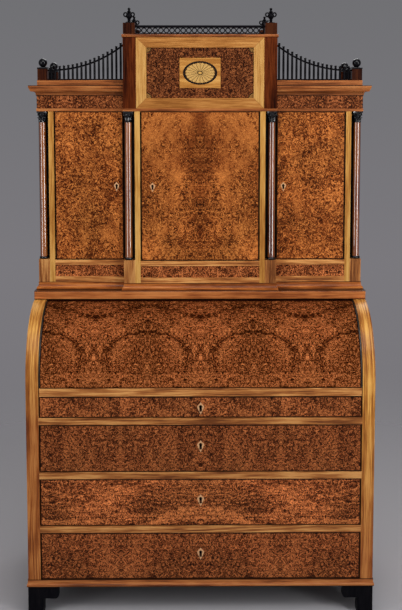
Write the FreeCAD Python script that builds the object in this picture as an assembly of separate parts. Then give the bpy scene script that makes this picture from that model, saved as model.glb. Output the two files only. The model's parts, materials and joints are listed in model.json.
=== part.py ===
import FreeCAD, Part
import math
import os

# Cylinder-front bureau cabinet, in millimetres.
# X runs to the right, Y from front to back, Z up.
# The origin is on the floor at the centre of the footprint.

# Lower case
case_width = 1180.0
case_depth = 600.0
side_thickness = 42.5
back_thickness = 12.0

# Bracket feet
foot_height = 100.0
foot_post_width = 52.0
foot_setback = 4.0
foot_wing_length = 53.0
foot_wing_height = 43.0
foot_wing_thickness = 22.0
foot_scroll_width = 11.0
foot_scroll_height = 17.0

# Base board and the moulding planted round it
base_thickness = 24.5
base_lip = 5.0
base_bead_height = 8.0
base_fillet = 2.0
base_fillet_height = 6.0

# Drawer fronts, rails and dust boards
deep_front_height = 161.0
shallow_front_height = 70.0
front_thickness = 22.0
front_recess = 1.0
front_easing = 0.8
drawer_gap = 2.0
drawer_side_gap = 3.0
rail_height = 23.5
rail_depth = 45.0
dust_thickness = 10.0

# Drawer boxes
running_gap = 0.3
box_inset = 1.0
box_wall = 12.0
box_bottom = 8.0
box_bottom_rise = 6.0
box_back_gap = 47.0
box_top_drop = 14.0

# Locks and their bone keyhole plates
lock_width = 60.0
lock_height = 42.0
lock_thickness = 10.0
lock_below_key = 16.0
lock_bolt_width = 18.0
lock_bolt_rise = 6.0
plate_width = 23.0
plate_height = 42.0
plate_thickness = 2.0
plate_shoulder_shares = (0.68, 0.58)
door_plate_share = 0.8
keyhole_rise = 6.0
keyhole_radius = 4.0
keyhole_slot_width = 5.0
keyhole_slot_drop = 15.0
deep_key_rise = 7.0
shallow_key_drop = 5.0

# Writing slide and its bearers
slide_thickness = 27.0
slide_edge_depth = 22.0
slide_back_gap = 28.0
bearer_width = 27.5
bearer_lip_reach = 20.0
bearer_lip_height = 12.0
bearer_setback = 27.0
slide_headroom = 1.0
slide_side_gap = 1.0

# Quarter-round fall, its iron arms and pivots
fall_axis_rise = 14.5
case_arc_radius = 249.0
fall_recess = 2.0
fall_thickness = 16.0
fall_bottom_gap = 1.5
fall_top_angle = 88.0
arm_thickness = 4.0
arm_side_gap = 1.5
arm_rim = 24.0
arm_spoke_width = 18.0
arm_spoke_angles = (12.0, 72.0)
arm_hub_radius = 11.0
arm_edge_setback = 0.5
fall_pivot_radius = 5.0
fall_pivot_bury = 18.0
fall_pivot_head_radius = 8.0
fall_pivot_head_depth = 2.0
pivot_clearance = 0.05
press_clearance = 0.02

# Pigeonhole case inside the fall
nest_side_gap = 4.0
nest_reach_front = 60.0
nest_reach_back = 130.0
nest_height = 197.0
nest_board = 10.0
nest_divider = 8.0
nest_drawer_height = 62.0
nest_drawer_count = 3
nest_hole_count = 6
nest_drawer_gap = 1.0
nest_drawer_front = 8.0
nest_drawer_wall = 6.0
nest_drawer_bottom = 4.0
nest_drawer_back_gap = 4.0
nest_knob_radius = 7.0
nest_knob_neck = 3.5
nest_knob_neck_length = 6.0

# Desk top board
desk_top_thickness = 30.0
desk_top_overhang_x = 1.0
desk_top_setback = 225.0
desk_top_easing = 4.0

# Upper cabinet in plan
side_front_setback = 270.0
centre_front_setback = 236.0
cabinet_end_setback = 11.0
centre_half = 271.0
column_bay = 40.0
stile_width = 19.0
stile_depth = 52.0
cabinet_back_thickness = 10.0
front_rail_depth = 22.0

# Upper cabinet in height
foot_rail_height = 46.5
plinth_panel_height = 42.0
plinth_panel_recess = 3.0
plinth_panel_thickness = 12.0
sill_height = 18.0
door_height = 528.0
door_gap_bottom = 2.0
door_gap_top = 1.5
floor_thickness = 16.0
shelf_thickness = 14.0
shelf_setback = 60.0
shelf_height_shares = (0.32, 0.66)
top_thickness = 9.5
top_lip = 1.5
frieze_height = 46.0
frieze_thickness = 20.0

# Moulding round the foot of the upper cabinet
cabinet_base_height = 27.0
cabinet_base_lip = 8.0
cabinet_base_step = 8.0
cabinet_base_fillet = 1.5
cabinet_base_fillet_height = 3.0

# Doors and their pivots
door_thickness = 20.0
door_recess = 0.5
door_gap = 3.5
side_door_gap = 3.5
door_easing = 0.8
door_pivot_inset = 7.0
door_pivot_radius = 3.0
door_pivot_length = 12.0
door_collar_radius = 6.0
door_key_height = 261.0
side_key_inset = 23.5
centre_key_inset = 40.0
door_lock_width = 34.0
door_lock_height = 70.0
door_lock_margin = 2.0

# Columns
column_inset = 17.0
column_foot_radius = 13.0
column_neck_radius = 12.0
column_base_radius = 16.5
column_base_height = 9.5
capital_height = 39.0
capital_gap = 5.3
capital_abacus_height = 6.0
capital_collar_height = 4.0
capital_bell_share = 0.35
column_block_top_rise = 2.5

# Cornice and the blocking course over it
cornice_height = 35.0
cornice_bed = 20.0
cornice_lip = 26.0
cornice_foot = 2.5
cornice_foot_height = 4.0
cornice_cove_lip = 13.0
cornice_fascia_lip = 19.0
cornice_fascia_height = 21.0
cornice_fillet_height = 7.0
blocking_height = 19.0
blocking_inset = 2.0

# Attic over the centre
attic_height = 249.0
attic_wall = 20.0
attic_pilaster_width = 46.0
attic_frame_width = 36.5
attic_panel_recess = 5.0
attic_panel_thickness = 10.0
plaque_width = 144.0
plaque_height = 105.0
plaque_thickness = 1.0
attic_cap_height = 10.0
attic_cap_lip = 4.0
attic_cap_easing = 3.0

# Ring gallery and urns over the attic
attic_post_width = 41.6
attic_post_height = 39.4
attic_post_inset = 1.2
ring_gallery_thickness = 5.0
ring_hole_radius = 6.6
ring_wall = 3.4
ring_lap = 0.3
ring_foot_rail = 4.6
ring_head_rail = 8.0
urn_height = 54.0
urn_foot_radius = 13.5
urn_stem_radius = 4.6
urn_body_radius = 11.5
urn_neck_radius = 4.8
urn_lid_radius = 8.0
urn_knop_radius = 5.2
urn_handle_radius = 6.8
urn_handle_wire = 2.0
urn_level_shares = (0.08, 0.18, 0.46, 0.70, 0.74)
urn_handle_height_share = 0.56

# Spindle galleries over the side sections
corner_post_width = 35.0
corner_post_height = 40.0
corner_post_inset = 1.5
corner_cap_height = 5.0
corner_cap_lip = 1.0
ball_radius = 15.5
ball_neck_radius = 7.0
ball_neck_height = 3.0
spindle_radius = 3.8
spindle_pitch = 15.5
spindle_tip = 13.0
gallery_rail_height = 5.0
gallery_rail_depth = 8.0
gallery_low_rise = 34.0
gallery_high_rise = 124.0
gallery_middle_shares = (0.52, 0.22)

# One overrun serves every cut that has to pass a face
overrun = 5.0

vector = FreeCAD.Vector
nodes = {}


# Shared shapes

def block(x0, x1, y0, y1, z0, z1):
    corner = vector(min(x0, x1), min(y0, y1), min(z0, z1))
    return Part.makeBox(abs(x1 - x0), abs(y1 - y0), abs(z1 - z0), corner)


def line(start, end):
    return Part.LineSegment(start, end).toShape()


def arc(start, middle, end):
    return Part.Arc(start, middle, end).toShape()


def face(edges):
    return Part.Face(Part.Wire(edges))


def prism(points, direction):
    return Part.Face(Part.makePolygon(points + points[:1])).extrude(direction)


def eased(shape, radius, keep):
    edges = [edge for edge in shape.Edges if keep(edge)]
    return shape.makeFillet(radius, edges)


def turned(edges):
    return face(edges).revolve(vector(), vector(0, 0, 1), 360)


def add(name, *solids):
    nodes[name] = solids[0] if len(solids) == 1 else Part.makeCompound(list(solids))


def mitred_strips(path, base_z, reach, section):
    """Straight moulding lengths round a plan path, mitred where they meet."""
    runs = []
    for start, end in zip(path, path[1:]):
        along = (end - start).normalize()
        runs.append((start, end, along, vector(along.y, -along.x, 0)))
    strips = []
    for index, (start, end, along, out) in enumerate(runs):
        start_out = start + out * reach
        end_out = end + out * reach
        if index > 0:
            start_out += runs[index - 1][3] * reach
        if index < len(runs) - 1:
            end_out += runs[index + 1][3] * reach
        heights = [place.z for edge in section(lambda d, h: vector(d, 0, h)) for place in
                   (vertex.Point for vertex in edge.Vertexes)]
        plan = [place + vector(0, 0, base_z) for place in (start, end, end_out, start_out)]
        footprint = prism(plan, vector(0, 0, max(heights)))
        origin = start - along * reach + vector(0, 0, base_z)
        profile = face(section(lambda d, h: origin + out * d + vector(0, 0, h)))
        length = (end - start).Length + reach + reach
        strips.append(profile.extrude(along * length).common(footprint).Solids[0])
    return strips


# Levels and planes that the pieces share
front = -(case_depth - base_lip) / 2
back = front + case_depth
case_half = case_width / 2
cabinet_half = case_half - cabinet_end_setback
inner_half = case_half - side_thickness
case_inner_back = back - back_thickness
base_top = foot_height + base_thickness

drawer_levels = {}
rail_levels = []
level = base_top
for drawer_name in ("lower", "middle", "upper"):
    drawer_levels[drawer_name] = level
    level += drawer_gap + deep_front_height + drawer_gap
    rail_levels.append(level)
    level += rail_height
drawer_levels["shallow"] = level
slide_bottom = level + drawer_gap + shallow_front_height + drawer_gap
slide_top = slide_bottom + slide_thickness
axis_z = slide_top + fall_axis_rise
axis_y = front + case_arc_radius
desk_bottom = axis_z + case_arc_radius
cabinet_bottom = desk_bottom + desk_top_thickness

side_front = front + side_front_setback
centre_front = front + centre_front_setback
cabinet_inner_back = back - cabinet_back_thickness
panel_bottom = cabinet_bottom + foot_rail_height
sill_bottom = panel_bottom + plinth_panel_height
sill_top = sill_bottom + sill_height
door_bottom = sill_top + door_gap_bottom
door_top = door_bottom + door_height
tops_bottom = door_top + door_gap_top
tops_top = tops_bottom + top_thickness
frieze_top = tops_top + frieze_height
cornice_top = frieze_top + cornice_height
blocking_top = cornice_top + blocking_height
attic_top = tops_top + attic_height
cap_top = attic_top + attic_cap_height
bay_half = cabinet_half - column_bay
stile_inner = bay_half - stile_width
centre_bay_half = centre_half - column_bay
attic_frame_half = centre_half - attic_pilaster_width
centre_stile_inner = centre_bay_half - stile_width


# Case sides: veneered boards whose front edge bends back with the fall
def case_side(side):
    outer = side * case_half
    foot = vector(outer, front, base_top)
    spring = vector(outer, front, axis_z)
    quarter = case_arc_radius * math.sqrt(0.5)
    shoulder = vector(outer, axis_y - quarter, axis_z + quarter)
    crown = vector(outer, axis_y, desk_bottom)
    top_back = vector(outer, back, desk_bottom)
    foot_back = vector(outer, back, base_top)
    edges = [line(foot, spring), arc(spring, shoulder, crown), line(crown, top_back),
             line(top_back, foot_back), line(foot_back, foot)]
    board = face(edges).extrude(vector(-side * side_thickness, 0, 0))
    bore_start = vector(side * (inner_half - overrun), axis_y, axis_z)
    bore = Part.makeCylinder(fall_pivot_radius + press_clearance, fall_pivot_bury + overrun, bore_start,
                             vector(side, 0, 0))
    return board.cut(bore)


add("case_side_left", case_side(-1))
add("case_side_right", case_side(1))


# Base board with the small cove moulding planted round its front and ends
def base_section(place):
    cove_foot = place(base_lip, base_bead_height)
    cove_head = place(base_fillet, base_thickness - base_fillet_height)
    near_share = math.sqrt(0.5)
    cove_middle = place(base_lip + (base_fillet - base_lip) * near_share,
                        base_thickness - base_fillet_height
                        + (base_bead_height - base_thickness + base_fillet_height) * near_share)
    return [line(place(0, 0), place(base_lip, 0)), line(place(base_lip, 0), cove_foot),
            arc(cove_foot, cove_middle, cove_head), line(cove_head, place(base_fillet, base_thickness)),
            line(place(base_fillet, base_thickness), place(0, base_thickness)),
            line(place(0, base_thickness), place(0, 0))]


base_path = [vector(-case_half, back, 0), vector(-case_half, front, 0),
             vector(case_half, front, 0), vector(case_half, back, 0)]
base_slab = block(-case_half, case_half, front, back, foot_height, base_top)
add("base_board", base_slab, *mitred_strips(base_path, foot_height, base_lip, base_section))


# Bracket feet: a square post with a scrolled wing along the front and one along the side
def foot_wing():
    wing_bottom = foot_height - foot_wing_height
    tip = vector(foot_wing_length, 0, wing_bottom + foot_scroll_height)
    heel = vector(foot_wing_length - foot_scroll_width, 0, wing_bottom)
    bulge = vector(tip.x - foot_scroll_width * (1 - math.sqrt(0.5)), 0,
                   wing_bottom + foot_scroll_height * (1 - math.sqrt(0.5)))
    edges = [line(vector(0, 0, foot_height), vector(0, 0, wing_bottom)),
             line(vector(0, 0, wing_bottom), heel), arc(heel, bulge, tip),
             line(tip, vector(foot_wing_length, 0, foot_height)),
             line(vector(foot_wing_length, 0, foot_height), vector(0, 0, foot_height))]
    return face(edges).extrude(vector(0, foot_wing_thickness, 0))


def bracket_foot(side, end):
    post = block(0, foot_post_width, 0, foot_post_width, 0, foot_height)
    along_front = foot_wing().translated(vector(foot_post_width, 0, 0))
    along_side = foot_wing().mirror(vector(), vector(1, -1, 0)).translated(vector(0, foot_post_width, 0))
    foot = post.fuse([along_front, along_side]).removeSplitter()
    inset = foot_setback - base_lip
    foot = foot.translated(vector(inset - case_half, inset + front, 0))
    if side > 0:
        foot = foot.mirror(vector(), vector(1, 0, 0))
    if end > 0:
        foot = foot.mirror(vector(0, (inset + front + back) / 2, 0), vector(0, 1, 0))
    return foot


add("bracket_feet", *[bracket_foot(side, end) for side in (-1, 1) for end in (-1, 1)])

# Rails between the drawers, and the dust boards that the drawers run on
add("drawer_rails", *[block(-inner_half, inner_half, front, front + rail_depth, z, z + rail_height)
                      for z in rail_levels])
add("dust_boards", *[block(-inner_half, inner_half, front + rail_depth, case_inner_back,
                           z + rail_height - dust_thickness, z + rail_height) for z in rail_levels])


# Keyhole plate: a pointed shield of bone let into the front, with the keyhole through it
def shield(x, y, z, share):
    half = plate_width * share / 2
    tall = plate_height * share
    low = z - tall / 2
    shoulder, waist = plate_shoulder_shares
    points = [vector(x, y, low),
              vector(x + half, y, low + tall * waist),
              vector(x + half, y, low + tall * shoulder),
              vector(x, y, low + tall),
              vector(x - half, y, low + tall * shoulder),
              vector(x - half, y, low + tall * waist)]
    return prism(points, vector(0, plate_thickness, 0))


def keyhole(x, y, z, depth, share):
    eye_z = z + keyhole_rise * share
    eye = Part.makeCylinder(keyhole_radius * share, depth, vector(x, y, eye_z), vector(0, 1, 0))
    half = keyhole_slot_width * share / 2
    slot = block(x - half, x + half, y, y + depth, eye_z - keyhole_slot_drop * share, eye_z)
    return eye.fuse(slot)


def keyhole_plate(x, y, z, share=1):
    cutter = keyhole(x, y - overrun, z, plate_thickness + overrun + overrun, share)
    return shield(x, y, z, share).cut(cutter)


def bored_for_lock(panel, x, y, z, thickness, share=1):
    hole = keyhole(x, y - overrun, z, thickness + overrun + overrun, share)
    return panel.cut(shield(x, y, z, share)).cut(hole)


def on_front_face(y):
    return lambda edge: all(abs(vertex.Point.y - y) < front_easing for vertex in edge.Vertexes)


# Drawers: a veneered front, a plain box and a lock with its bone plate
def drawer(name, bottom, height, key_z):
    half = inner_half - drawer_side_gap
    face_y = front + front_recess
    box_front = face_y + front_thickness
    front_bottom = bottom + drawer_gap
    panel = block(-half, half, face_y, box_front, front_bottom, front_bottom + height)
    panel = eased(panel, front_easing, on_front_face(face_y))
    add("drawer_" + name + "_front", bored_for_lock(panel, 0, face_y, key_z, front_thickness))
    outer = half - box_inset
    inner = outer - box_wall
    box_low = bottom + running_gap
    box_high = box_low + height - box_top_drop
    box_back = case_inner_back - box_back_gap
    bottom_low = box_low + box_bottom_rise
    bottom_high = bottom_low + box_bottom
    add("drawer_" + name + "_box",
        block(-outer, -inner, box_front, box_back, box_low, box_high),
        block(inner, outer, box_front, box_back, box_low, box_high),
        block(-inner, inner, box_front, box_back, bottom_low, bottom_high),
        block(-inner, inner, box_back - box_wall, box_back, bottom_high, box_high))
    lock_low = key_z - lock_below_key
    lock_high = lock_low + lock_height
    case = block(-lock_width / 2, lock_width / 2, box_front, box_front + lock_thickness, lock_low, lock_high)
    bolt = block(-lock_bolt_width / 2, lock_bolt_width / 2, box_front, box_front + lock_thickness / 2,
                 lock_high, lock_high + lock_bolt_rise)
    add("drawer_" + name + "_lock", case, bolt, keyhole_plate(0, face_y, key_z))


for drawer_name in ("lower", "middle", "upper"):
    drawer_bottom = drawer_levels[drawer_name]
    deep_key = drawer_bottom + drawer_gap + deep_front_height / 2 + deep_key_rise
    drawer(drawer_name, drawer_bottom, deep_front_height, deep_key)
shallow_bottom = drawer_levels["shallow"]
shallow_key = shallow_bottom + drawer_gap + shallow_front_height / 2 - shallow_key_drop
drawer("shallow", shallow_bottom, shallow_front_height, shallow_key)


# Bearers: rebated strips on the case sides that carry the writing slide and the pigeonhole case
def slide_bearer(side):
    y = front + bearer_setback
    low = slide_bottom - bearer_lip_height
    wall_x = inner_half - bearer_width
    corners = [(inner_half, low), (wall_x - bearer_lip_reach, low),
               (wall_x - bearer_lip_reach, slide_bottom - running_gap), (wall_x, slide_bottom - running_gap),
               (wall_x, slide_top + slide_headroom), (inner_half, slide_top + slide_headroom)]
    points = [vector(side * x, y, z) for x, z in corners]
    return prism(points, vector(0, case_inner_back - y, 0))


add("slide_bearers", slide_bearer(-1), slide_bearer(1))

# Writing slide: a panel between the bearers with a full-width lipping on its front
slide_half = inner_half - bearer_width - slide_side_gap
lipping_half = inner_half - drawer_side_gap
slide_front = front + front_recess
lipping_back = slide_front + slide_edge_depth
lipping = block(-lipping_half, lipping_half, slide_front, lipping_back, slide_bottom, slide_top)
lipping = eased(lipping, front_easing, on_front_face(slide_front))
slide_panel = block(-slide_half, slide_half, lipping_back, case_inner_back - slide_back_gap,
                    slide_bottom, slide_top)
add("writing_slide", lipping, slide_panel)

# Quarter-round fall between two iron arms that turn on pins in the case sides
fall_outer = case_arc_radius - fall_recess
fall_inner = fall_outer - fall_thickness
fall_low = slide_top + fall_bottom_gap
arm_outer_x = inner_half - arm_side_gap
fall_half = arm_outer_x - arm_thickness


def on_arc(x, radius, angle):
    turn = math.radians(angle)
    return vector(x, axis_y - radius * math.cos(turn), axis_z + radius * math.sin(turn))


def quarter_band(x, outer, inner, width):
    outer_start = math.degrees(math.asin((fall_low - axis_z) / outer))
    inner_start = math.degrees(math.asin((fall_low - axis_z) / inner))
    edges = [arc(on_arc(x, outer, outer_start), on_arc(x, outer, (outer_start + fall_top_angle) / 2),
                 on_arc(x, outer, fall_top_angle)),
             line(on_arc(x, outer, fall_top_angle), on_arc(x, inner, fall_top_angle)),
             arc(on_arc(x, inner, fall_top_angle), on_arc(x, inner, (inner_start + fall_top_angle) / 2),
                 on_arc(x, inner, inner_start)),
             line(on_arc(x, inner, inner_start), on_arc(x, outer, outer_start))]
    return face(edges).extrude(vector(width, 0, 0))


add("cylinder_fall", quarter_band(-fall_half, fall_outer, fall_inner, fall_half + fall_half))


def fall_arm(side):
    low_x = min(side * fall_half, side * arm_outer_x)
    arm = quarter_band(low_x, fall_outer - arm_edge_setback, fall_inner - arm_rim, arm_thickness)
    spokes = []
    for angle in arm_spoke_angles:
        spoke = block(low_x, low_x + arm_thickness, -fall_inner + arm_rim / 2, 0,
                      -arm_spoke_width / 2, arm_spoke_width / 2)
        spoke.rotate(vector(), vector(-1, 0, 0), angle)
        spokes.append(spoke.translated(vector(0, axis_y, axis_z)))
    hub = Part.makeCylinder(arm_hub_radius, arm_thickness, vector(low_x, axis_y, axis_z), vector(1, 0, 0))
    bore = Part.makeCylinder(fall_pivot_radius + pivot_clearance, arm_thickness + overrun + overrun,
                             vector(low_x - overrun, axis_y, axis_z), vector(1, 0, 0))
    return arm.fuse(spokes + [hub]).cut(bore).removeSplitter()


add("fall_arms", fall_arm(-1), fall_arm(1))


def fall_pivot(side):
    head_x = side * (fall_half - running_gap - fall_pivot_head_depth)
    shank_start = side * (fall_half - running_gap)
    shank_length = inner_half + fall_pivot_bury - abs(shank_start)
    head = Part.makeCylinder(fall_pivot_head_radius, fall_pivot_head_depth, vector(head_x, axis_y, axis_z),
                             vector(side, 0, 0))
    shank = Part.makeCylinder(fall_pivot_radius, shank_length, vector(shank_start, axis_y, axis_z),
                              vector(side, 0, 0))
    return head.fuse(shank).removeSplitter()


# Pigeonhole case that stands on the bearers: a row of drawers under open pigeonholes
nest_half = fall_half - nest_side_gap
nest_front = axis_y - nest_reach_front
nest_back = axis_y + nest_reach_back
nest_low = slide_top + slide_headroom
nest_top = nest_low + nest_height
nest_inner = nest_half - nest_board
nest_inner_back = nest_back - nest_divider
nest_row_low = nest_low + nest_board
nest_row_high = nest_row_low + nest_drawer_height
nest_hole_low = nest_row_high + nest_divider
nest_hole_high = nest_top - nest_board


def nest_bays(count):
    width = (nest_inner + nest_inner - nest_divider * (count - 1)) / count
    return [(-nest_inner + index * (width + nest_divider),
             -nest_inner + index * (width + nest_divider) + width) for index in range(count)]


def nest_dividers(count, low, high):
    return [block(start - nest_divider, start, nest_front, nest_inner_back, low, high)
            for start, end in nest_bays(count)[1:]]


nest_boards = [block(-nest_half, nest_half, nest_front, nest_back, nest_low, nest_row_low),
               block(-nest_half, nest_half, nest_front, nest_back, nest_hole_high, nest_top),
               block(-nest_half, -nest_inner, nest_front, nest_back, nest_row_low, nest_hole_high),
               block(nest_inner, nest_half, nest_front, nest_back, nest_row_low, nest_hole_high),
               block(-nest_inner, nest_inner, nest_inner_back, nest_back, nest_row_low, nest_hole_high),
               block(-nest_inner, nest_inner, nest_front, nest_inner_back, nest_row_high, nest_hole_low)]
nest_boards += nest_dividers(nest_drawer_count, nest_row_low, nest_row_high)
nest_boards += nest_dividers(nest_hole_count, nest_hole_low, nest_hole_high)
add("pigeonhole_case", *nest_boards)


def nest_knob(x, z):
    neck = nest_knob_neck_length
    tip = vector(0, 0, neck + nest_knob_radius)
    quarter = nest_knob_radius * math.sqrt(0.5)
    edges = [line(vector(0, 0, 0), vector(nest_knob_neck, 0, 0)),
             line(vector(nest_knob_neck, 0, 0), vector(nest_knob_neck, 0, neck)),
             line(vector(nest_knob_neck, 0, neck), vector(nest_knob_radius, 0, neck)),
             arc(vector(nest_knob_radius, 0, neck), vector(quarter, 0, neck + quarter), tip),
             line(tip, vector(0, 0, 0))]
    knob = turned(edges)
    knob.rotate(vector(), vector(1, 0, 0), 90)
    return knob.translated(vector(x, nest_front, z))


def nest_drawer(start, end):
    left = start + nest_drawer_gap
    right = end - nest_drawer_gap
    low = nest_row_low + running_gap
    high = nest_row_high - nest_drawer_gap
    wall_front = nest_front + nest_drawer_front
    rear = nest_inner_back - nest_drawer_back_gap
    floor_top = low + nest_drawer_bottom
    return [block(left, right, nest_front, wall_front, low, high),
            block(left, right, wall_front, rear, low, floor_top),
            block(left, left + nest_drawer_wall, wall_front, rear, floor_top, high),
            block(right - nest_drawer_wall, right, wall_front, rear, floor_top, high),
            block(left + nest_drawer_wall, right - nest_drawer_wall, rear - nest_drawer_wall, rear,
                  floor_top, high),
            nest_knob((left + right) / 2, (low + high) / 2)]


for nest_name, (bay_start, bay_end) in zip(("left", "centre", "right"), nest_bays(nest_drawer_count)):
    add("inner_drawer_" + nest_name, *nest_drawer(bay_start, bay_end))

# Desk top board that covers the case and carries the upper cabinet
desk_half = case_half + desk_top_overhang_x
desk_front = front + desk_top_setback
desk_board = block(-desk_half, desk_half, desk_front, back, desk_bottom, cabinet_bottom)
add("desk_top", eased(desk_board, desk_top_easing, lambda edge: all(
    abs(vertex.Point.y - desk_front) < desk_top_easing for vertex in edge.Vertexes)))

# Upper cabinet: sides and partitions stop behind the columns
add("cabinet_sides", *[block(side * bay_half, side * cabinet_half, side_front + column_bay, back,
                             cabinet_bottom, tops_bottom) for side in (-1, 1)])
add("cabinet_partitions", *[block(side * centre_bay_half, side * centre_half, centre_front + column_bay,
                                  cabinet_inner_back, cabinet_bottom, tops_bottom) for side in (-1, 1)])

# Light stiles beside the doors
side_stiles = [block(side * stile_inner, side * bay_half, side_front, side_front + stile_depth,
                     cabinet_bottom, tops_bottom) for side in (-1, 1)]
centre_stiles = [block(side * centre_stile_inner, side * centre_bay_half, centre_front,
                       centre_front + stile_depth, cabinet_bottom, tops_bottom) for side in (-1, 1)]
add("door_stiles", *side_stiles, *centre_stiles)

# The three bays behind the doors: left, centre and right
bays = [(-stile_inner, -centre_half, side_front), (-centre_stile_inner, centre_stile_inner, centre_front),
        (centre_half, stile_inner, side_front)]
insides = [(-bay_half, -centre_half, side_front), (-centre_bay_half, centre_bay_half, centre_front),
           (centre_half, bay_half, side_front)]

# Foot rails, sill rails and the burl panels between them
add("cabinet_rails",
    *[block(x0, x1, y, y + front_rail_depth, cabinet_bottom, panel_bottom) for x0, x1, y in bays],
    *[block(x0, x1, y, y + front_rail_depth, sill_bottom, sill_top) for x0, x1, y in bays])
add("plinth_panels", *[block(x0, x1, y + plinth_panel_recess, y + plinth_panel_recess + plinth_panel_thickness,
                             panel_bottom, sill_bottom) for x0, x1, y in bays])

# Floors let in round the stiles, and two shelves in each compartment
floors = [block(x0, x1, y + front_rail_depth, cabinet_inner_back, sill_top - floor_thickness, sill_top)
          for x0, x1, y in insides]
floors = [floor.cut(Part.makeCompound(side_stiles + centre_stiles)).Solids[0] for floor in floors]
shelves = []
for x0, x1, y in insides:
    for share in shelf_height_shares:
        shelf_z = sill_top + share * door_height
        shelves.append(block(x0, x1, y + shelf_setback, cabinet_inner_back, shelf_z, shelf_z + shelf_thickness))
add("cabinet_shelves", *floors, *shelves)

# Top boards, whose thin edges show as the moulding over the doors
top_edge = centre_half + top_lip
add("cabinet_tops",
    block(-cabinet_half - top_lip, -top_edge, side_front - top_lip, back, tops_bottom, tops_top),
    block(-top_edge, top_edge, centre_front - top_lip, back, tops_bottom, tops_top),
    block(top_edge, cabinet_half + top_lip, side_front - top_lip, back, tops_bottom, tops_top))

# Back panels of the case, of the cabinet and of the attic
add("back_panels",
    block(-inner_half, inner_half, case_inner_back, back, base_top, desk_bottom),
    block(-bay_half, bay_half, cabinet_inner_back, back, cabinet_bottom, tops_bottom),
    block(-centre_half, centre_half, cabinet_inner_back, back, tops_top, attic_top),
    *[block(side * centre_half, side * (cabinet_half - frieze_thickness), cabinet_inner_back, back,
            tops_top, cornice_top) for side in (-1, 1)])


# Moulding round the foot of the upper cabinet, broken forward at the centre
def cabinet_base_section(place):
    cove_foot = place(cabinet_base_lip, cabinet_base_step)
    cove_high = cabinet_base_height - cabinet_base_fillet_height
    near_share = math.sqrt(0.5)
    cove_middle = place(cabinet_base_lip + (cabinet_base_fillet - cabinet_base_lip) * near_share,
                        cove_high + (cabinet_base_step - cove_high) * near_share)
    cove_head = place(cabinet_base_fillet, cove_high)
    edge_head = place(cabinet_base_fillet, cabinet_base_height)
    return [line(place(0, 0), place(cabinet_base_lip, 0)), line(place(cabinet_base_lip, 0), cove_foot),
            arc(cove_foot, cove_middle, cove_head), line(cove_head, edge_head),
            line(edge_head, place(0, cabinet_base_height)), line(place(0, cabinet_base_height), place(0, 0))]


cabinet_path = [vector(-cabinet_half, back, 0), vector(-cabinet_half, side_front, 0),
                vector(-centre_half, side_front, 0), vector(-centre_half, centre_front, 0),
                vector(centre_half, centre_front, 0), vector(centre_half, side_front, 0),
                vector(cabinet_half, side_front, 0), vector(cabinet_half, back, 0)]
add("cabinet_base_moulding",
    *mitred_strips(cabinet_path, cabinet_bottom, cabinet_base_lip, cabinet_base_section))

# Columns in the open corners: plinth block, black base, polished shaft, black capital
column_bays = [(side, cabinet_half, side_front) for side in (-1, 1)]
column_bays += [(side, centre_half, centre_front) for side in (-1, 1)]
column_places = [(side * (half - column_inset), face_y + column_inset) for side, half, face_y in column_bays]
block_top = sill_top + column_block_top_rise
shaft_low = block_top + column_base_height
shaft_high = tops_bottom - capital_height


def column_plinth(side, half, face_y):
    return block(side * (half - column_bay), side * half, face_y, face_y + column_bay, cabinet_bottom, block_top)


def column_base(x, y):
    half_height = column_base_height / 2
    edges = [line(vector(0, 0, 0), vector(column_foot_radius, 0, 0)),
             arc(vector(column_foot_radius, 0, 0), vector(column_base_radius, 0, half_height),
                 vector(column_foot_radius, 0, column_base_height)),
             line(vector(column_foot_radius, 0, column_base_height), vector(0, 0, column_base_height)),
             line(vector(0, 0, column_base_height), vector(0, 0, 0))]
    return turned(edges).translated(vector(x, y, block_top))


def column_shaft(x, y):
    return Part.makeCone(column_foot_radius, column_neck_radius, shaft_high - shaft_low, vector(x, y, shaft_low))


def column_capital(x, y):
    bell_top = capital_height - capital_abacus_height
    bell_reach = column_bay - column_inset - capital_gap
    bell_middle = vector(column_neck_radius + (bell_reach - column_neck_radius) * capital_bell_share, 0,
                         (bell_top + capital_collar_height) / 2)
    edges = [line(vector(0, 0, 0), vector(column_foot_radius, 0, 0)),
             line(vector(column_foot_radius, 0, 0), vector(column_foot_radius, 0, capital_collar_height)),
             arc(vector(column_foot_radius, 0, capital_collar_height), bell_middle, vector(bell_reach, 0, bell_top)),
             line(vector(bell_reach, 0, bell_top), vector(0, 0, bell_top)),
             line(vector(0, 0, bell_top), vector(0, 0, 0))]
    abacus = block(-bell_reach, bell_reach, -bell_reach, bell_reach, bell_top, capital_height)
    return turned(edges).fuse(abacus).removeSplitter().translated(vector(x, y, shaft_high))


add("column_plinths", *[column_plinth(*bay) for bay in column_bays])
add("column_bases", *[column_base(x, y) for x, y in column_places])
add("column_shafts", *[column_shaft(x, y) for x, y in column_places])
add("column_capitals", *[column_capital(x, y) for x, y in column_places])


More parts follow.
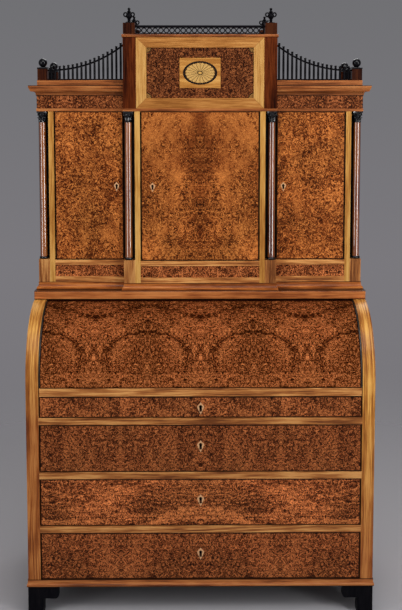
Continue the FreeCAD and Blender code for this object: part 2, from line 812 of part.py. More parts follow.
# Doors: burl panels on pivot pins, with a lock and a bone plate at the free edge
def door(name, hinge_x, free_x, y, key_inset):
    face_y = y + door_recess
    back_y = face_y + door_thickness
    inward = 1 if free_x > hinge_x else -1
    key_x = free_x - inward * key_inset
    key_z = door_bottom + door_key_height
    panel = block(hinge_x, free_x, face_y, back_y, door_bottom, door_top)
    panel = eased(panel, door_easing, on_front_face(face_y))
    panel = bored_for_lock(panel, key_x, face_y, key_z, door_thickness, door_plate_share)
    pivot = vector(hinge_x + inward * door_pivot_inset, face_y + door_pivot_inset, 0)
    socket_depth = door_pivot_length + running_gap
    for socket_z in (door_bottom, door_top - socket_depth):
        panel = panel.cut(Part.makeCylinder(door_pivot_radius + pivot_clearance, socket_depth,
                                            pivot + vector(0, 0, socket_z)))
    add("door_" + name, panel)
    lock_free = free_x - inward * door_lock_margin
    case = block(lock_free, lock_free - inward * (key_inset + door_lock_width / 2), back_y, back_y + lock_thickness,
                 key_z - door_lock_height / 2, key_z + door_lock_height / 2)
    add("door_" + name + "_lock", case, keyhole_plate(key_x, face_y, key_z, door_plate_share))
    low_pin = Part.makeCylinder(door_pivot_radius, door_gap_bottom + door_pivot_length,
                                pivot + vector(0, 0, sill_top))
    collar = Part.makeCylinder(door_collar_radius, door_gap_bottom - running_gap, pivot + vector(0, 0, sill_top))
    high_pin = Part.makeCylinder(door_pivot_radius, door_gap_top + door_pivot_length,
                                 pivot + vector(0, 0, door_top - door_pivot_length))
    return [low_pin.fuse(collar).removeSplitter(), high_pin]


side_hinge_x = stile_inner - door_gap
side_free_x = centre_half + side_door_gap
centre_door_half = centre_stile_inner - door_gap
pins = door("left", -side_hinge_x, -side_free_x, side_front, side_key_inset)
pins += door("centre", centre_door_half, -centre_door_half, centre_front, centre_key_inset)
pins += door("right", side_hinge_x, side_free_x, side_front, side_key_inset)
add("pivot_pins", fall_pivot(-1), fall_pivot(1), *pins)

# Burl friezes over the side doors, with their returns along the ends
friezes = []
for side in (-1, 1):
    friezes.append(block(side * centre_half, side * cabinet_half, side_front, side_front + frieze_thickness,
                         tops_top, frieze_top))
    friezes.append(block(side * (cabinet_half - frieze_thickness), side * cabinet_half,
                         side_front + frieze_thickness, back, tops_top, frieze_top))
add("side_friezes", *friezes)


# Cornice lengths, mitred at the front corners
def cornice_section(place):
    foot_out = cornice_bed + cornice_foot
    cove_out = cornice_bed + cornice_cove_lip
    fascia_out = cornice_bed + cornice_fascia_lip
    lip_out = cornice_bed + cornice_lip
    fascia_low = cornice_height - cornice_fascia_height
    fillet_low = cornice_height - cornice_fillet_height
    near_share = math.sqrt(0.5)
    cove_middle = place(cove_out + (foot_out - cove_out) * near_share,
                        cornice_foot_height + (fascia_low - cornice_foot_height) * near_share)
    corners = [place(cove_out, fascia_low), place(fascia_out, fascia_low), place(lip_out, fillet_low),
               place(lip_out, cornice_height), place(0, cornice_height), place(0, 0), place(foot_out, 0),
               place(foot_out, cornice_foot_height)]
    edges = [line(start, end) for start, end in zip(corners, corners[1:])]
    return edges + [arc(corners[-1], cove_middle, corners[0])]


bed_x = cabinet_half - cornice_bed
bed_y = side_front + cornice_bed
cornice_paths = [[vector(-bed_x, back, 0), vector(-bed_x, bed_y, 0), vector(-centre_half, bed_y, 0)],
                 [vector(centre_half, bed_y, 0), vector(bed_x, bed_y, 0), vector(bed_x, back, 0)]]
cornices = []
for path in cornice_paths:
    cornices += mitred_strips(path, frieze_top, cornice_bed + cornice_lip, cornice_section)
add("cornices", *cornices)

# Blocking courses that close the side sections and carry the spindle galleries
blocking_half = cabinet_half - blocking_inset
blocking_front = side_front + blocking_inset
add("gallery_plinths", *[block(side * centre_half, side * blocking_half, blocking_front, back,
                               cornice_top, blocking_top) for side in (-1, 1)])

# Attic: plain pilasters and side walls
pilasters = [block(side * attic_frame_half, side * centre_half, centre_front, centre_front + attic_wall,
                   tops_top, attic_top) for side in (-1, 1)]
attic_walls = [block(side * (centre_half - attic_wall), side * centre_half, centre_front + attic_wall,
                     cabinet_inner_back, tops_top, attic_top) for side in (-1, 1)]
add("attic_case", *pilasters, *attic_walls)


# Mitred light frame with the recessed burl panel and the inlaid plaque
def frame_member(outer_a, outer_b, inner_b, inner_a):
    points = [vector(x, centre_front, z) for x, z in (outer_a, outer_b, inner_b, inner_a)]
    return prism(points, vector(0, attic_wall, 0))


frame_inner = attic_frame_half - attic_frame_width
frame_low = tops_top + attic_frame_width
frame_high = attic_top - attic_frame_width
outer_corners = [(-attic_frame_half, tops_top), (attic_frame_half, tops_top),
                 (attic_frame_half, attic_top), (-attic_frame_half, attic_top)]
inner_corners = [(-frame_inner, frame_low), (frame_inner, frame_low),
                 (frame_inner, frame_high), (-frame_inner, frame_high)]
add("attic_frame", *[frame_member(outer_corners[i - 1], outer_corners[i], inner_corners[i], inner_corners[i - 1])
                     for i in range(len(outer_corners))])
panel_face = centre_front + attic_panel_recess
add("attic_panel", block(-frame_inner, frame_inner, panel_face, panel_face + attic_panel_thickness,
                         frame_low, frame_high))
plaque_z = (tops_top + attic_top) / 2
add("patera_plaque", block(-plaque_width / 2, plaque_width / 2, panel_face - plaque_thickness, panel_face,
                           plaque_z - plaque_height / 2, plaque_z + plaque_height / 2))

# Thin cap board over the attic
cap_front = centre_front - attic_cap_lip
cap_half = centre_half + attic_cap_lip
cap_board = block(-cap_half, cap_half, cap_front, back, attic_top, cap_top)
add("attic_cap", eased(cap_board, attic_cap_easing, lambda edge: all(
    abs(vertex.Point.y - cap_front) < attic_cap_easing for vertex in edge.Vertexes)))

# Posts at the corners of the attic and of the side sections
attic_post_x = centre_half - attic_post_inset - attic_post_width / 2
attic_post_front = centre_front + attic_post_inset + attic_post_width / 2
attic_post_back = back - attic_post_inset - attic_post_width / 2
attic_post_top = cap_top + attic_post_height
corner_post_x = blocking_half - corner_post_inset - corner_post_width / 2
corner_post_front = blocking_front + corner_post_inset + corner_post_width / 2
corner_post_back = back - corner_post_inset - corner_post_width / 2
corner_post_top = blocking_top + corner_post_height


def square_post(x, y, low, width, height):
    return block(x - width / 2, x + width / 2, y - width / 2, y + width / 2, low, low + height)


attic_post_places = [(side * attic_post_x, y) for side in (-1, 1) for y in (attic_post_front, attic_post_back)]
corner_post_places = [(side * corner_post_x, y) for side in (-1, 1) for y in (corner_post_front, corner_post_back)]
add("gallery_posts",
    *[square_post(x, y, cap_top, attic_post_width, attic_post_height) for x, y in attic_post_places],
    *[square_post(x, y, blocking_top, corner_post_width, corner_post_height) for x, y in corner_post_places])


# Ring gallery between the attic posts: touching rings between a foot rail and a head rail
def ring_panel(length):
    half = ring_gallery_thickness / 2
    outer = ring_hole_radius + ring_wall
    pitch = outer + outer - ring_lap
    count = int((length - ring_lap) // pitch)
    ring_z = ring_foot_rail - ring_lap + outer
    head_low = ring_z + outer - ring_lap
    foot_rail = block(-length / 2, length / 2, -half, half, 0, ring_foot_rail)
    head_rail = block(-length / 2, length / 2, -half, half, head_low, head_low + ring_head_rail)
    places = [vector((index - (count - 1) / 2) * pitch, -half, ring_z) for index in range(count)]
    out = vector(0, 1, 0)
    rings = [Part.makeCylinder(outer, ring_gallery_thickness, place, out) for place in places]
    holes = [Part.makeCylinder(ring_hole_radius, ring_gallery_thickness + overrun + overrun, place - out * overrun, out)
             for place in places]
    return foot_rail.fuse(rings + [head_rail]).cut(Part.makeCompound(holes)).removeSplitter()


front_rings = ring_panel(2 * attic_post_x - attic_post_width)
front_rings = front_rings.translated(vector(0, attic_post_front, cap_top))
ring_panels = [front_rings]
for side in (-1, 1):
    side_rings = ring_panel(attic_post_back - attic_post_front - attic_post_width)
    side_rings.rotate(vector(), vector(0, 0, 1), 90)
    middle_y = (attic_post_front + attic_post_back) / 2
    ring_panels.append(side_rings.translated(vector(side * attic_post_x, middle_y, cap_top)))
add("ring_gallery", *ring_panels)


# Two-handled urn finials on the attic posts
def urn(x, y):
    levels = [urn_height * share for share in urn_level_shares]
    radii = [urn_foot_radius, urn_stem_radius, urn_body_radius, urn_neck_radius, urn_lid_radius]
    profile = [vector(radius, 0, height) for radius, height in zip(radii, levels)]
    body = Part.BSplineCurve()
    body.interpolate(profile[1:4])
    lid_top = vector(urn_neck_radius, 0, urn_height - urn_knop_radius)
    outline = [vector(0, 0, 0), vector(urn_foot_radius, 0, 0), profile[0], profile[1]]
    edges = [line(start, end) for start, end in zip(outline, outline[1:])]
    edges += [body.toShape(), line(profile[3], profile[4]), line(profile[4], lid_top),
              line(lid_top, vector(0, 0, lid_top.z)), line(vector(0, 0, lid_top.z), vector(0, 0, 0))]
    knop = Part.makeSphere(urn_knop_radius, vector(0, 0, urn_height - urn_knop_radius))
    handles = []
    for side in (-1, 1):
        ring = Part.makeTorus(urn_handle_radius, urn_handle_wire, vector(), vector(0, 1, 0))
        handles.append(ring.translated(vector(side * urn_body_radius, 0, urn_height * urn_handle_height_share)))
    return turned(edges).fuse([knop] + handles).translated(vector(x, y, attic_post_top))


add("urn_finials", *[urn(x, y) for x, y in attic_post_places])


# Black caps and balls on the corner posts
def ball_finial(x, y):
    half = corner_post_width / 2 + corner_cap_lip
    cap = block(-half, half, -half, half, 0, corner_cap_height)
    neck_top = corner_cap_height + ball_neck_height
    sink = ball_radius - math.sqrt(ball_radius ** 2 - ball_neck_radius ** 2)
    neck = Part.makeCylinder(ball_neck_radius, neck_top)
    ball = Part.makeSphere(ball_radius, vector(0, 0, neck_top - sink + ball_radius))
    return cap.fuse([neck, ball]).removeSplitter().translated(vector(x, y, corner_post_top))


add("ball_finials", *[ball_finial(x, y) for x, y in corner_post_places])


# Spindle galleries: a front run whose rail sweeps up to the attic, and a level run along the end
def railing_spindle(x, y, top):
    foot = vector(x, y, blocking_top)
    return Part.makeCylinder(spindle_radius, top - blocking_top, foot)


def swept_run(side):
    start_x = corner_post_x - corner_post_width / 2
    end_x = centre_half
    low_z = blocking_top + gallery_low_rise
    high_z = blocking_top + gallery_high_rise
    along_share, rise_share = gallery_middle_shares
    middle_x = start_x + (end_x - start_x) * along_share
    middle_z = low_z + (high_z - low_z) * rise_share
    rail_y = corner_post_front - gallery_rail_depth / 2
    low_start = vector(side * start_x, rail_y, low_z)
    low_middle = vector(side * middle_x, rail_y, middle_z)
    low_end = vector(side * end_x, rail_y, high_z)
    up = vector(0, 0, gallery_rail_height)
    sweep = arc(low_start, low_middle, low_end)
    edges = [sweep, line(low_end, low_end + up),
             arc(low_end + up, low_middle + up, low_start + up), line(low_start + up, low_start)]
    rail = face(edges).extrude(vector(0, gallery_rail_depth, 0))
    foot_rail = block(side * start_x, side * end_x, rail_y, rail_y + gallery_rail_depth, blocking_top,
                      blocking_top + gallery_rail_height)
    count = int((start_x - end_x) // spindle_pitch)
    margin = (start_x - end_x - (count - 1) * spindle_pitch) / 2
    spindles = []
    for index in range(count):
        x = end_x + margin + index * spindle_pitch
        reach = math.sqrt(sweep.Curve.Radius ** 2 - (side * x - sweep.Curve.Center.x) ** 2)
        rail_z = sweep.Curve.Center.z - reach
        spindles.append(railing_spindle(side * x, corner_post_front, rail_z + gallery_rail_height + spindle_tip))
    return rail.fuse([foot_rail] + spindles)


def level_run(side):
    x = side * corner_post_x
    start_y = corner_post_front + corner_post_width / 2
    end_y = corner_post_back - corner_post_width / 2
    half = gallery_rail_depth / 2
    low_z = blocking_top + gallery_low_rise
    rail = block(x - half, x + half, start_y, end_y, low_z, low_z + gallery_rail_height)
    foot_rail = block(x - half, x + half, start_y, end_y, blocking_top, blocking_top + gallery_rail_height)
    count = int((end_y - start_y) // spindle_pitch)
    margin = (end_y - start_y - (count - 1) * spindle_pitch) / 2
    spindles = [railing_spindle(x, start_y + margin + index * spindle_pitch,
                                low_z + gallery_rail_height + spindle_tip) for index in range(count)]
    return rail.fuse([foot_rail] + spindles)


add("spindle_railings", swept_run(-1), swept_run(1), level_run(-1), level_run(1))

os.makedirs("parts", exist_ok=True)
for name, shape in nodes.items():
    shape.exportStep("parts/" + name + ".step")
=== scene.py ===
import json
import math

import bmesh
import bpy
from mathutils import Matrix, Vector


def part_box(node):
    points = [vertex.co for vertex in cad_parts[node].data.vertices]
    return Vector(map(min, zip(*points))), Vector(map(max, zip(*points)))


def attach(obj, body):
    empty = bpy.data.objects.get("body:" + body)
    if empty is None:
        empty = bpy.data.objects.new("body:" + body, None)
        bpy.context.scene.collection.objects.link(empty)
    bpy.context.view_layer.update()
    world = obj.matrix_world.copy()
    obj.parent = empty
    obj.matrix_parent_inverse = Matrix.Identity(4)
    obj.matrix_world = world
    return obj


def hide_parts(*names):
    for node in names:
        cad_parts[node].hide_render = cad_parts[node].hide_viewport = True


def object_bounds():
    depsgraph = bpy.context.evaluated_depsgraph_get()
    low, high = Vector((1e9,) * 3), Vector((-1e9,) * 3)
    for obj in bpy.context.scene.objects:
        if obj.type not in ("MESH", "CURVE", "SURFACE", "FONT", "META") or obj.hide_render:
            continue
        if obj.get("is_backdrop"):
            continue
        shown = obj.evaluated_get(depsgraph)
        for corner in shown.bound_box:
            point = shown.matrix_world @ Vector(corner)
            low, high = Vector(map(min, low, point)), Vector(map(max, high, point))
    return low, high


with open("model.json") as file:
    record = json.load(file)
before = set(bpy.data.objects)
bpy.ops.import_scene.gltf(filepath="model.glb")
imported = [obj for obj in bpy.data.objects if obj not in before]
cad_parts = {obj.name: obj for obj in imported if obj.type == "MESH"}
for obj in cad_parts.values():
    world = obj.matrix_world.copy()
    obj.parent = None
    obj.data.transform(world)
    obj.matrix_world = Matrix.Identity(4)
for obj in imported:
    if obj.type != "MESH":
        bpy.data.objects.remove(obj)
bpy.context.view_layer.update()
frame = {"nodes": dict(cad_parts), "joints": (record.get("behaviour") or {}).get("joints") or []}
scene = bpy.context.scene
scene.view_settings.view_transform = "Standard"


# Camera
# It stands three and a half metres in front of the case at head height and looks a little down.
# The lens is shifted downwards, so the uprights stay nearly parallel.
def add_object(name, data):
    made = bpy.data.objects.new(name, data)
    scene.collection.objects.link(made)
    return made


camera = add_object("camera", bpy.data.cameras.new("camera"))
camera_distance = 3.3845
camera.location = (-0.0285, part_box("case_side_left")[0].y - camera_distance, 1.7155)
camera_pitch = math.radians(5.176)
camera_yaw = math.radians(0.502)
camera.rotation_euler = (math.pi / 2 - camera_pitch, 0, -camera_yaw)
camera.data.sensor_width = 36
camera.data.lens = 60.47
camera.data.shift_y = -0.1622
scene.camera = camera


# Studio
# A round of grey paper lies under the case and fades out into an even grey room, the same on every side.
# Two tall soft boxes stand at the sides, a broad one hangs in front, and one high behind lights the back.
def add_node(tree, kind, sockets=None, out=0, **settings):
    made = tree.nodes.new(kind if kind.startswith("GeometryNode") else "ShaderNode" + kind)
    for key, value in settings.items():
        setattr(made, key, value)
    for key, value in (sockets or {}).items():
        if isinstance(value, Field):
            tree.links.new(value.socket, made.inputs[key])
        else:
            made.inputs[key].default_value = value
    return Field(made.outputs[out])


def worked(operation, **settings):
    """The method that works out a field, alone or with another field or number."""
    def method(field, other=0.0):
        return field.node("Math", {0: field, 1: other}, operation=operation, **settings)

    return method


def axis(name):
    return property(lambda field: field.node("SeparateXYZ", {0: field}, name))


class Field:
    """A number, place or colour that varies over a surface. Sums written with it become shader nodes."""

    def __init__(self, socket):
        self.socket = socket

    def node(self, kind, sockets, out=0, **settings):
        return add_node(self.socket.id_data, kind, sockets, out, **settings)

    def mix(self, share, colour, blend="MIX"):
        second = colour if isinstance(colour, Field) else (*colour, 1)
        return self.node("Mix", {0: share, 6: self, 7: second}, 2, data_type="RGBA", blend_type=blend)

    def __rsub__(self, number):
        return self.node("Math", {0: number, 1: self}, operation="SUBTRACT")

    x, y, z = axis("X"), axis("Y"), axis("Z")
    __add__, __sub__ = worked("ADD"), worked("SUBTRACT")
    __mul__, __truediv__ = worked("MULTIPLY"), worked("DIVIDE")
    __lt__, __gt__ = worked("LESS_THAN"), worked("GREATER_THAN")
    smaller, larger = worked("MINIMUM"), worked("MAXIMUM")
    __abs__, root, fold = worked("ABSOLUTE"), worked("SQRT"), worked("PINGPONG")
    turn, cosine, fraction = worked("ARCTAN2"), worked("COSINE"), worked("FRACT")
    clamped = worked("ADD", use_clamp=True)


def ranged(field, low, high, to_low=0.0, to_high=1.0, **settings):
    return field.node("MapRange", {"Value": field, "From Min": low, "From Max": high, "To Min": to_low,
                                   "To Max": to_high}, **settings)


def scaled(place, scale):
    return place.node("VectorMath", {0: place, 1: scale}, operation="MULTIPLY")


def ramp(field, *stops):
    """A field turned into colours, each at its own place from 0 to 1."""
    tree = field.socket.id_data
    made = tree.nodes.new("ShaderNodeValToRGB")
    tree.links.new(field.socket, made.inputs[0])
    bar = made.color_ramp
    bar.elements[0].position = stops[0][0]
    bar.elements[1].position = stops[-1][0]
    for place, colour in stops[1:-1]:
        bar.elements.new(place)
    for element, (place, colour) in zip(bar.elements, stops):
        element.color = (*colour, 1)
    return Field(made.outputs[0])


def feed(shader, label, field):
    shader.id_data.links.new(field.socket, shader.inputs[label])


def finish(name, roughness, shine=0.5):
    made = bpy.data.materials.new(name)
    made.use_nodes = True
    shader = made.node_tree.nodes["Principled BSDF"]
    shader.inputs["Roughness"].default_value = roughness
    shader.inputs["Specular IOR Level"].default_value = shine
    return made, shader, add_node(made.node_tree, "TexCoord", out="Object")


paper, shader, place = finish("grey paper", 0.9, 0.1)
shader.inputs["Base Color"].default_value = (0.40, 0.39, 0.41, 1)
paper_reach = 3.4
fade_start = 0.7
spot = scaled(place, (1, 1, 0))
far = spot.node("VectorMath", {0: spot}, 1, operation="LENGTH")
gone = ranged(far, fade_start, paper_reach, interpolation_type="SMOOTHSTEP")
clear = add_node(paper.node_tree, "BsdfTransparent")
faded = gone.node("MixShader", {0: gone, 1: Field(shader.outputs[0]), 2: clear})
feed(paper.node_tree.nodes["Material Output"], "Surface", faded)

sheet = bmesh.new()
bmesh.ops.create_circle(sheet, cap_ends=True, segments=64, radius=paper_reach)
paper_mesh = bpy.data.meshes.new("paper_round")
sheet.to_mesh(paper_mesh)
sheet.free()
paper_mesh.materials.append(paper)
paper_round = add_object("paper_round", paper_mesh)
paper_round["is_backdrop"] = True

room = bpy.data.worlds.new("room")
room.use_nodes = True
tree = room.node_tree
height = ranged(add_node(tree, "TexCoord").z, -0.4, 0.12)
backdrop = ramp(height, (0.0, (0.184, 0.178, 0.192)), (0.5, (0.196, 0.189, 0.204)),
                (1.0, (0.162, 0.162, 0.172)))
rays = tree.nodes.new("ShaderNodeLightPath").outputs
seen = Field(rays["Is Camera Ray"])
for label in ("Is Glossy Ray", "Is Transmission Ray"):
    seen = seen.larger(Field(rays[label]))
fill_light = (0.11, 0.11, 0.115, 1)
room_tone = seen.node("Mix", {0: seen, 6: fill_light, 7: backdrop}, 2, data_type="RGBA")
feed(tree.nodes["Background"], "Color", room_tone)
scene.world = room


def soft_box(name, place, target, width, tall, power):
    lamp = bpy.data.lights.new(name, "AREA")
    lamp.shape = "RECTANGLE"
    lamp.size = width
    lamp.size_y = tall
    lamp.energy = power
    box = add_object(name, lamp)
    box.location = place
    box.rotation_euler = (Vector(target) - Vector(place)).to_track_quat("-Z", "Y").to_euler()


soft_box("right soft box", (2.4, -2.6, 1.95), (0.1, 0.0, 1.2), 0.5, 2.5, 56)
soft_box("left soft box", (-2.5, -2.3, 1.95), (-0.1, 0.0, 1.2), 0.45, 2.5, 33)
soft_box("overhead soft box", (0.3, -2.4, 4.0), (0.0, 0.0, 1.2), 3.0, 2.0, 76)
soft_box("back soft box", (0.4, 3.0, 4.3), (0.0, 0.3, 1.0), 3.0, 2.0, 80)


# Bracket feet
# Four corner blocks with scrolled wings carry the case, glued and screwed under the base board.
# They are of beech stained black and polished to a low sheen.
def assign(material, *nodes):
    for name in nodes:
        for slot in frame["nodes"][name].material_slots:
            slot.material = material


def noise(place, scale, detail=2.0, roughness=0.5, distortion=0.0, out=0):
    return place.node("TexNoise", {"Vector": place, "Scale": scale, "Detail": detail, "Roughness": roughness,
                                   "Distortion": distortion}, out)


def spread(field, low, high):
    """The field's middle range, from 0.3 to 0.7, set out from low to high."""
    return ranged(field, 0.3, 0.7, low, high)


def add_bump(shader, height, depth, strength):
    feed(shader, "Normal", height.node("Bump", {"Height": height, "Distance": depth, "Strength": strength}))


def ebonised_wood(name, roughness, shine, grain=(1, 1, 1)):
    made, shader, place = finish(name, roughness, shine)
    fibre = noise(scaled(place, grain), 160, 4, 0.6)
    feed(shader, "Base Color", ramp(fibre, (0.3, (0.002, 0.002, 0.003)), (0.62, (0.005, 0.0045, 0.006)),
                                    (0.8, (0.014, 0.010, 0.009))))
    feed(shader, "Roughness", spread(noise(place, 34, 3), roughness * 0.75, roughness * 1.3))
    add_bump(shader, fibre, 0.0004, 0.25)
    return made


assign(ebonised_wood("ebonised feet", 0.42, 0.04, (1, 1, 0.12)), "bracket_feet")

# Base board
# One broad board closes the case at the bottom, with a small cove moulding planted round its edge.
# It is of red-brown cherry, its grain running along each length, polished to a low sheen.
GRAIN_PULL = 0.045
along_x, along_y, along_z = (GRAIN_PULL, 1, 1), (1, GRAIN_PULL, 1), (1, 1, GRAIN_PULL)
# Two ways of the grain stand for the front and the end faces, or for the rails and the stiles of a frame.
grain_ways = {"x": [along_x], "y": [along_y], "z": [along_z], "lengths": [along_x, along_y],
              "mitre": [along_x, along_z], "bend": [(1.6, GRAIN_PULL, GRAIN_PULL), (1, 1.15, GRAIN_PULL)]}


def facing(place):
    return place.node("NewGeometry", {}, "True Normal")


def straight_wood(name, shades, along, roughness=0.36, rings=9.0, coat=0.05, shine=0.2, pattern_or_shade=None,
                  joints=(), shaded_faces=None, coat_roughness=0.2):
    """Straight-grained polished wood. The grain runs along x, y or z, up a bent board's front edge,
    round a moulding's lengths or a mitred frame. Painted shade blackens recessed faces and draws dark joint
    lines."""
    made, shader, place = finish(name, roughness, shine)
    deep, middle, pale = shades
    ways = [scaled(place, way) for way in grain_ways[along]]
    drawn = ways[0]
    if along == "mitre":
        past_side = abs(place.x) - panel_half
        past_end = abs(place.z - panel_middle) - panel_half_height
        second_way = past_side > past_end
    elif len(ways) == 2:
        second_way = abs(facing(place).x) > 0.8
    if len(ways) == 2:
        drawn = drawn.node("Mix", {0: second_way, 4: ways[0], 5: ways[1]}, 1, data_type="VECTOR")
    bands = (noise(drawn, 11, 2.5, 0.5, 0.4) * rings).fold(0.5)
    fibre = noise(drawn, 210, 6, 0.68)
    cloud = noise(place, 7, 2)
    figure = bands * 0.8 + spread(fibre, -0.18, 0.54) + spread(cloud, -0.06, 0.26)
    tone = ramp(figure, (0.16, deep), (0.46, middle), (0.78, pale))
    pores = noise(drawn, 800, 2, 0.5) > 0.68
    tone = tone.mix(pores * 0.35, [channel * 0.45 for channel in deep])
    if along == "mitre":
        tone = tone.mix(second_way * 0.8, (1.13, 1.36, 1.52), "MULTIPLY")
        tone = tone.mix(abs(past_side - past_end) < 0.0007, deep)
    if pattern_or_shade:
        tone = pattern_or_shade(place, tone)
    # Painted shade: a dark line at each joint level, for the shadow in the joint and under a moulding's edge.
    for level in joints:
        joint_shade = ranged(abs(place.z - level), 0.0012, 0.0028, 0.9, 0.0)
        tone = tone.mix(joint_shade, [channel * 0.12 for channel in deep])
    # Painted shade: the faces at the sides, or the faces towards the front, turn almost black for the shadow
    # in the recesses behind the columns.
    if shaded_faces:
        painted_recess_shade = abs(facing(place).x) if shaded_faces == "sides" else facing(place).y * -1.0
        tone = tone.mix(painted_recess_shade > 0.7, (0.006, 0.0025, 0.0015))
    feed(shader, "Base Color", tone)
    feed(shader, "Roughness", spread(fibre, roughness * 0.85, roughness * 1.2))
    shader.inputs["Coat Weight"].default_value = coat
    shader.inputs["Coat Roughness"].default_value = coat_roughness
    add_bump(shader, fibre, 0.0004, 0.18)
    return made


def levels(node):
    return [corner.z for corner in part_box(node)]


cherry = ((0.14, 0.037, 0.009), (0.35, 0.103, 0.025), (0.47, 0.175, 0.050))
cherry_lengths = straight_wood("cherry mouldings", cherry, "lengths",
                               joints=levels("base_board") + levels("cornices"))
assign(cherry_lengths, "base_board")


# Case sides
# Two thick boards whose front edge bends back in a quarter round, joined to the base and the top board.
# They are faced with golden elm, and its grain stands upright.
def painted_shade_below(low, high):
    """Painted shade: a tint that is redder and darker up to the low level and plain above the high one."""
    def tint(place, tone):
        shade = ramp(ranged(place.z, low, high), (0.0, (0.62, 0.455, 0.52)), (1.0, (1.0, 1.0, 1.0)))
        return tone.mix(1.0, shade, "MULTIPLY")

    return tint


golden_elm = ((0.22, 0.066, 0.011), (0.50, 0.197, 0.034), (0.80, 0.420, 0.098))
# Painted shade darkens each side towards the floor, the left one up to a higher level than the right.
for side, low, high in (("left", 0.66, 0.98), ("right", 0.22, 0.74)):
    tint = painted_shade_below(low, high)
    assign(straight_wood(side + " bent elm", golden_elm, "bend", pattern_or_shade=tint), "case_side_" + side)


# Drawer rails and dust boards
# Rails of elm are let into the sides between the drawers, and their grain runs across.
# Behind each one lies a pine board that keeps dust from the drawer below.
def toned(shades, level):
    return [tuple(channel * level for channel in shade) for shade in shades]


elm = ((0.13, 0.038, 0.010), (0.34, 0.120, 0.030), (0.58, 0.275, 0.085))
elm_across = straight_wood("elm across", toned(elm, 1.10), "x", rings=12)
assign(elm_across, "drawer_rails")
pine = ((0.32, 0.165, 0.066), (0.50, 0.29, 0.124), (0.62, 0.405, 0.198))
unpolished = dict(roughness=0.62, rings=7, coat=0)
pine_across = straight_wood("pine across", pine, "x", **unpolished)
assign(pine_across, "dust_boards", "slide_bearers", "cabinet_shelves")
aged_pine = ((0.27, 0.116, 0.038), (0.42, 0.208, 0.078), (0.54, 0.300, 0.130))
# Painted shade: these levels get dark lines for the shadow in the joints between the back boards.
board_joints = [0.29, 0.455, 0.62, 0.785, 0.95, 1.25, 1.415, 1.58, 1.85, 1.92]
back_pine = straight_wood("pine back boards", aged_pine, "x", roughness=0.66, rings=7, coat=0,
                          joints=board_joints)
assign(back_pine, "back_panels")


# Drawer fronts
# Each front is a board faced with burl veneer in matched leaves, on a plain pine box.
# The veneer is fine-curled and freckled and French polished, and a dark line of painted shade frames it for
# the gap round the front.
def shifted(place, step):
    return place.node("VectorMath", {0: place, 1: step}, operation="ADD")


def painted_gap_shade(place, low, high):
    """Full along a front's four edges and nothing inside them: painted shade for the gap round each front."""
    shade_width = 0.0030
    nearest = (place.x - low.x).smaller(high.x - place.x).smaller(place.z - low.z).smaller(high.z - place.z)
    return ranged(nearest, shade_width * 0.7, shade_width * 1.1, 0.9, 0.0)


def burl_veneer(name, shades, leaf, slip=False, centre=0.0, freckle=158.0, cloud_scale=(9, 9, 9),
                cloud_share=0.5, curl=0.0, shift=(0, 0, 0), shading=None, border=None, pattern_or_shade=None,
                roughness=0.34, shine=0.10, calm=0.0, calm_above=None):
    """Burl with freckles, curls and soft clouds. The leaves fold over at each joint, or slip along.
    Shading may darken parts of it. Calm fades the freckles in golden patches and above a level."""
    made, shader, place = finish(name, roughness, shine)
    dark, middle, pale = shades
    offset = place.x - centre
    folded = offset.fold(leaf)
    if slip:
        folded = offset.node("Math", {0: offset, 1: leaf, 2: 0.0}, operation="WRAP")
    moved = shifted(place.node("CombineXYZ", {0: folded, 1: place.y, 2: place.z}), shift)
    swirl = shifted(noise(moved, 26, 2, 0.5, 0.6, out=1), (-0.5, -0.5, -0.5))
    pushed = shifted(scaled(swirl, (0.03, 0.03, 0.03)), moved)
    freckles = noise(pushed, freckle, 4, 0.66, 1.3)
    speckle = spread(freckles, -0.36, 1.34)
    broad = scaled(moved, cloud_scale)
    clouds = noise(broad, 1.0, 3, 0.55, 0.8)
    if calm:
        golden = spread(noise(broad, 1.7, 3, 0.55, 1.4), -1.1 * calm, calm)
        if calm_above is not None:
            golden += ranged(place.z, calm_above, calm_above + 0.24, 0.0, 0.8)
        speckle = speckle.node("Mix", {0: golden.clamped() * 0.78, 2: speckle, 3: 0.73})
    veins = abs(noise(pushed, freckle * 0.7, 2, 0.5, 2.4) - 0.5)
    figure = speckle + spread(clouds, -cloud_share / 2, cloud_share / 2)
    figure += ranged(veins, 0.0, 0.05, -0.36, 0.05)
    if curl:
        wave = (pushed.z * 62 + clouds * 5).fold(0.5)
        figure += (wave - 0.25) * curl
    if shading:
        figure += shading(folded, place, pushed)
    tone = ramp(figure, (0.10, dark), (0.48, middle), (0.88, pale))
    pips = pushed.node("TexVoronoi", {"Vector": pushed, "Scale": freckle * 0.7, "Randomness": 1.0}) < 0.16
    tone = tone.mix(pips * 0.55, [channel * 0.5 for channel in dark])
    olive = spread(noise(moved, 5.5, 2, 0.5), -0.3, 0.9)
    tone = tone.mix(olive, (0.76, 0.82, 0.80), "MULTIPLY")
    if pattern_or_shade:
        tone = pattern_or_shade(place, tone)
    # Painted shade along the edges of the front faces, for the gaps round drawers, doors and the fall.
    if border:
        tone = tone.mix(painted_gap_shade(place, *border) * (facing(place).y < -0.05), (0.006, 0.002, 0.001))
    feed(shader, "Base Color", tone)
    feed(shader, "Roughness", spread(freckles, roughness * 0.88, roughness * 1.18))
    add_bump(shader, freckles, 0.0003, 0.12)
    return made


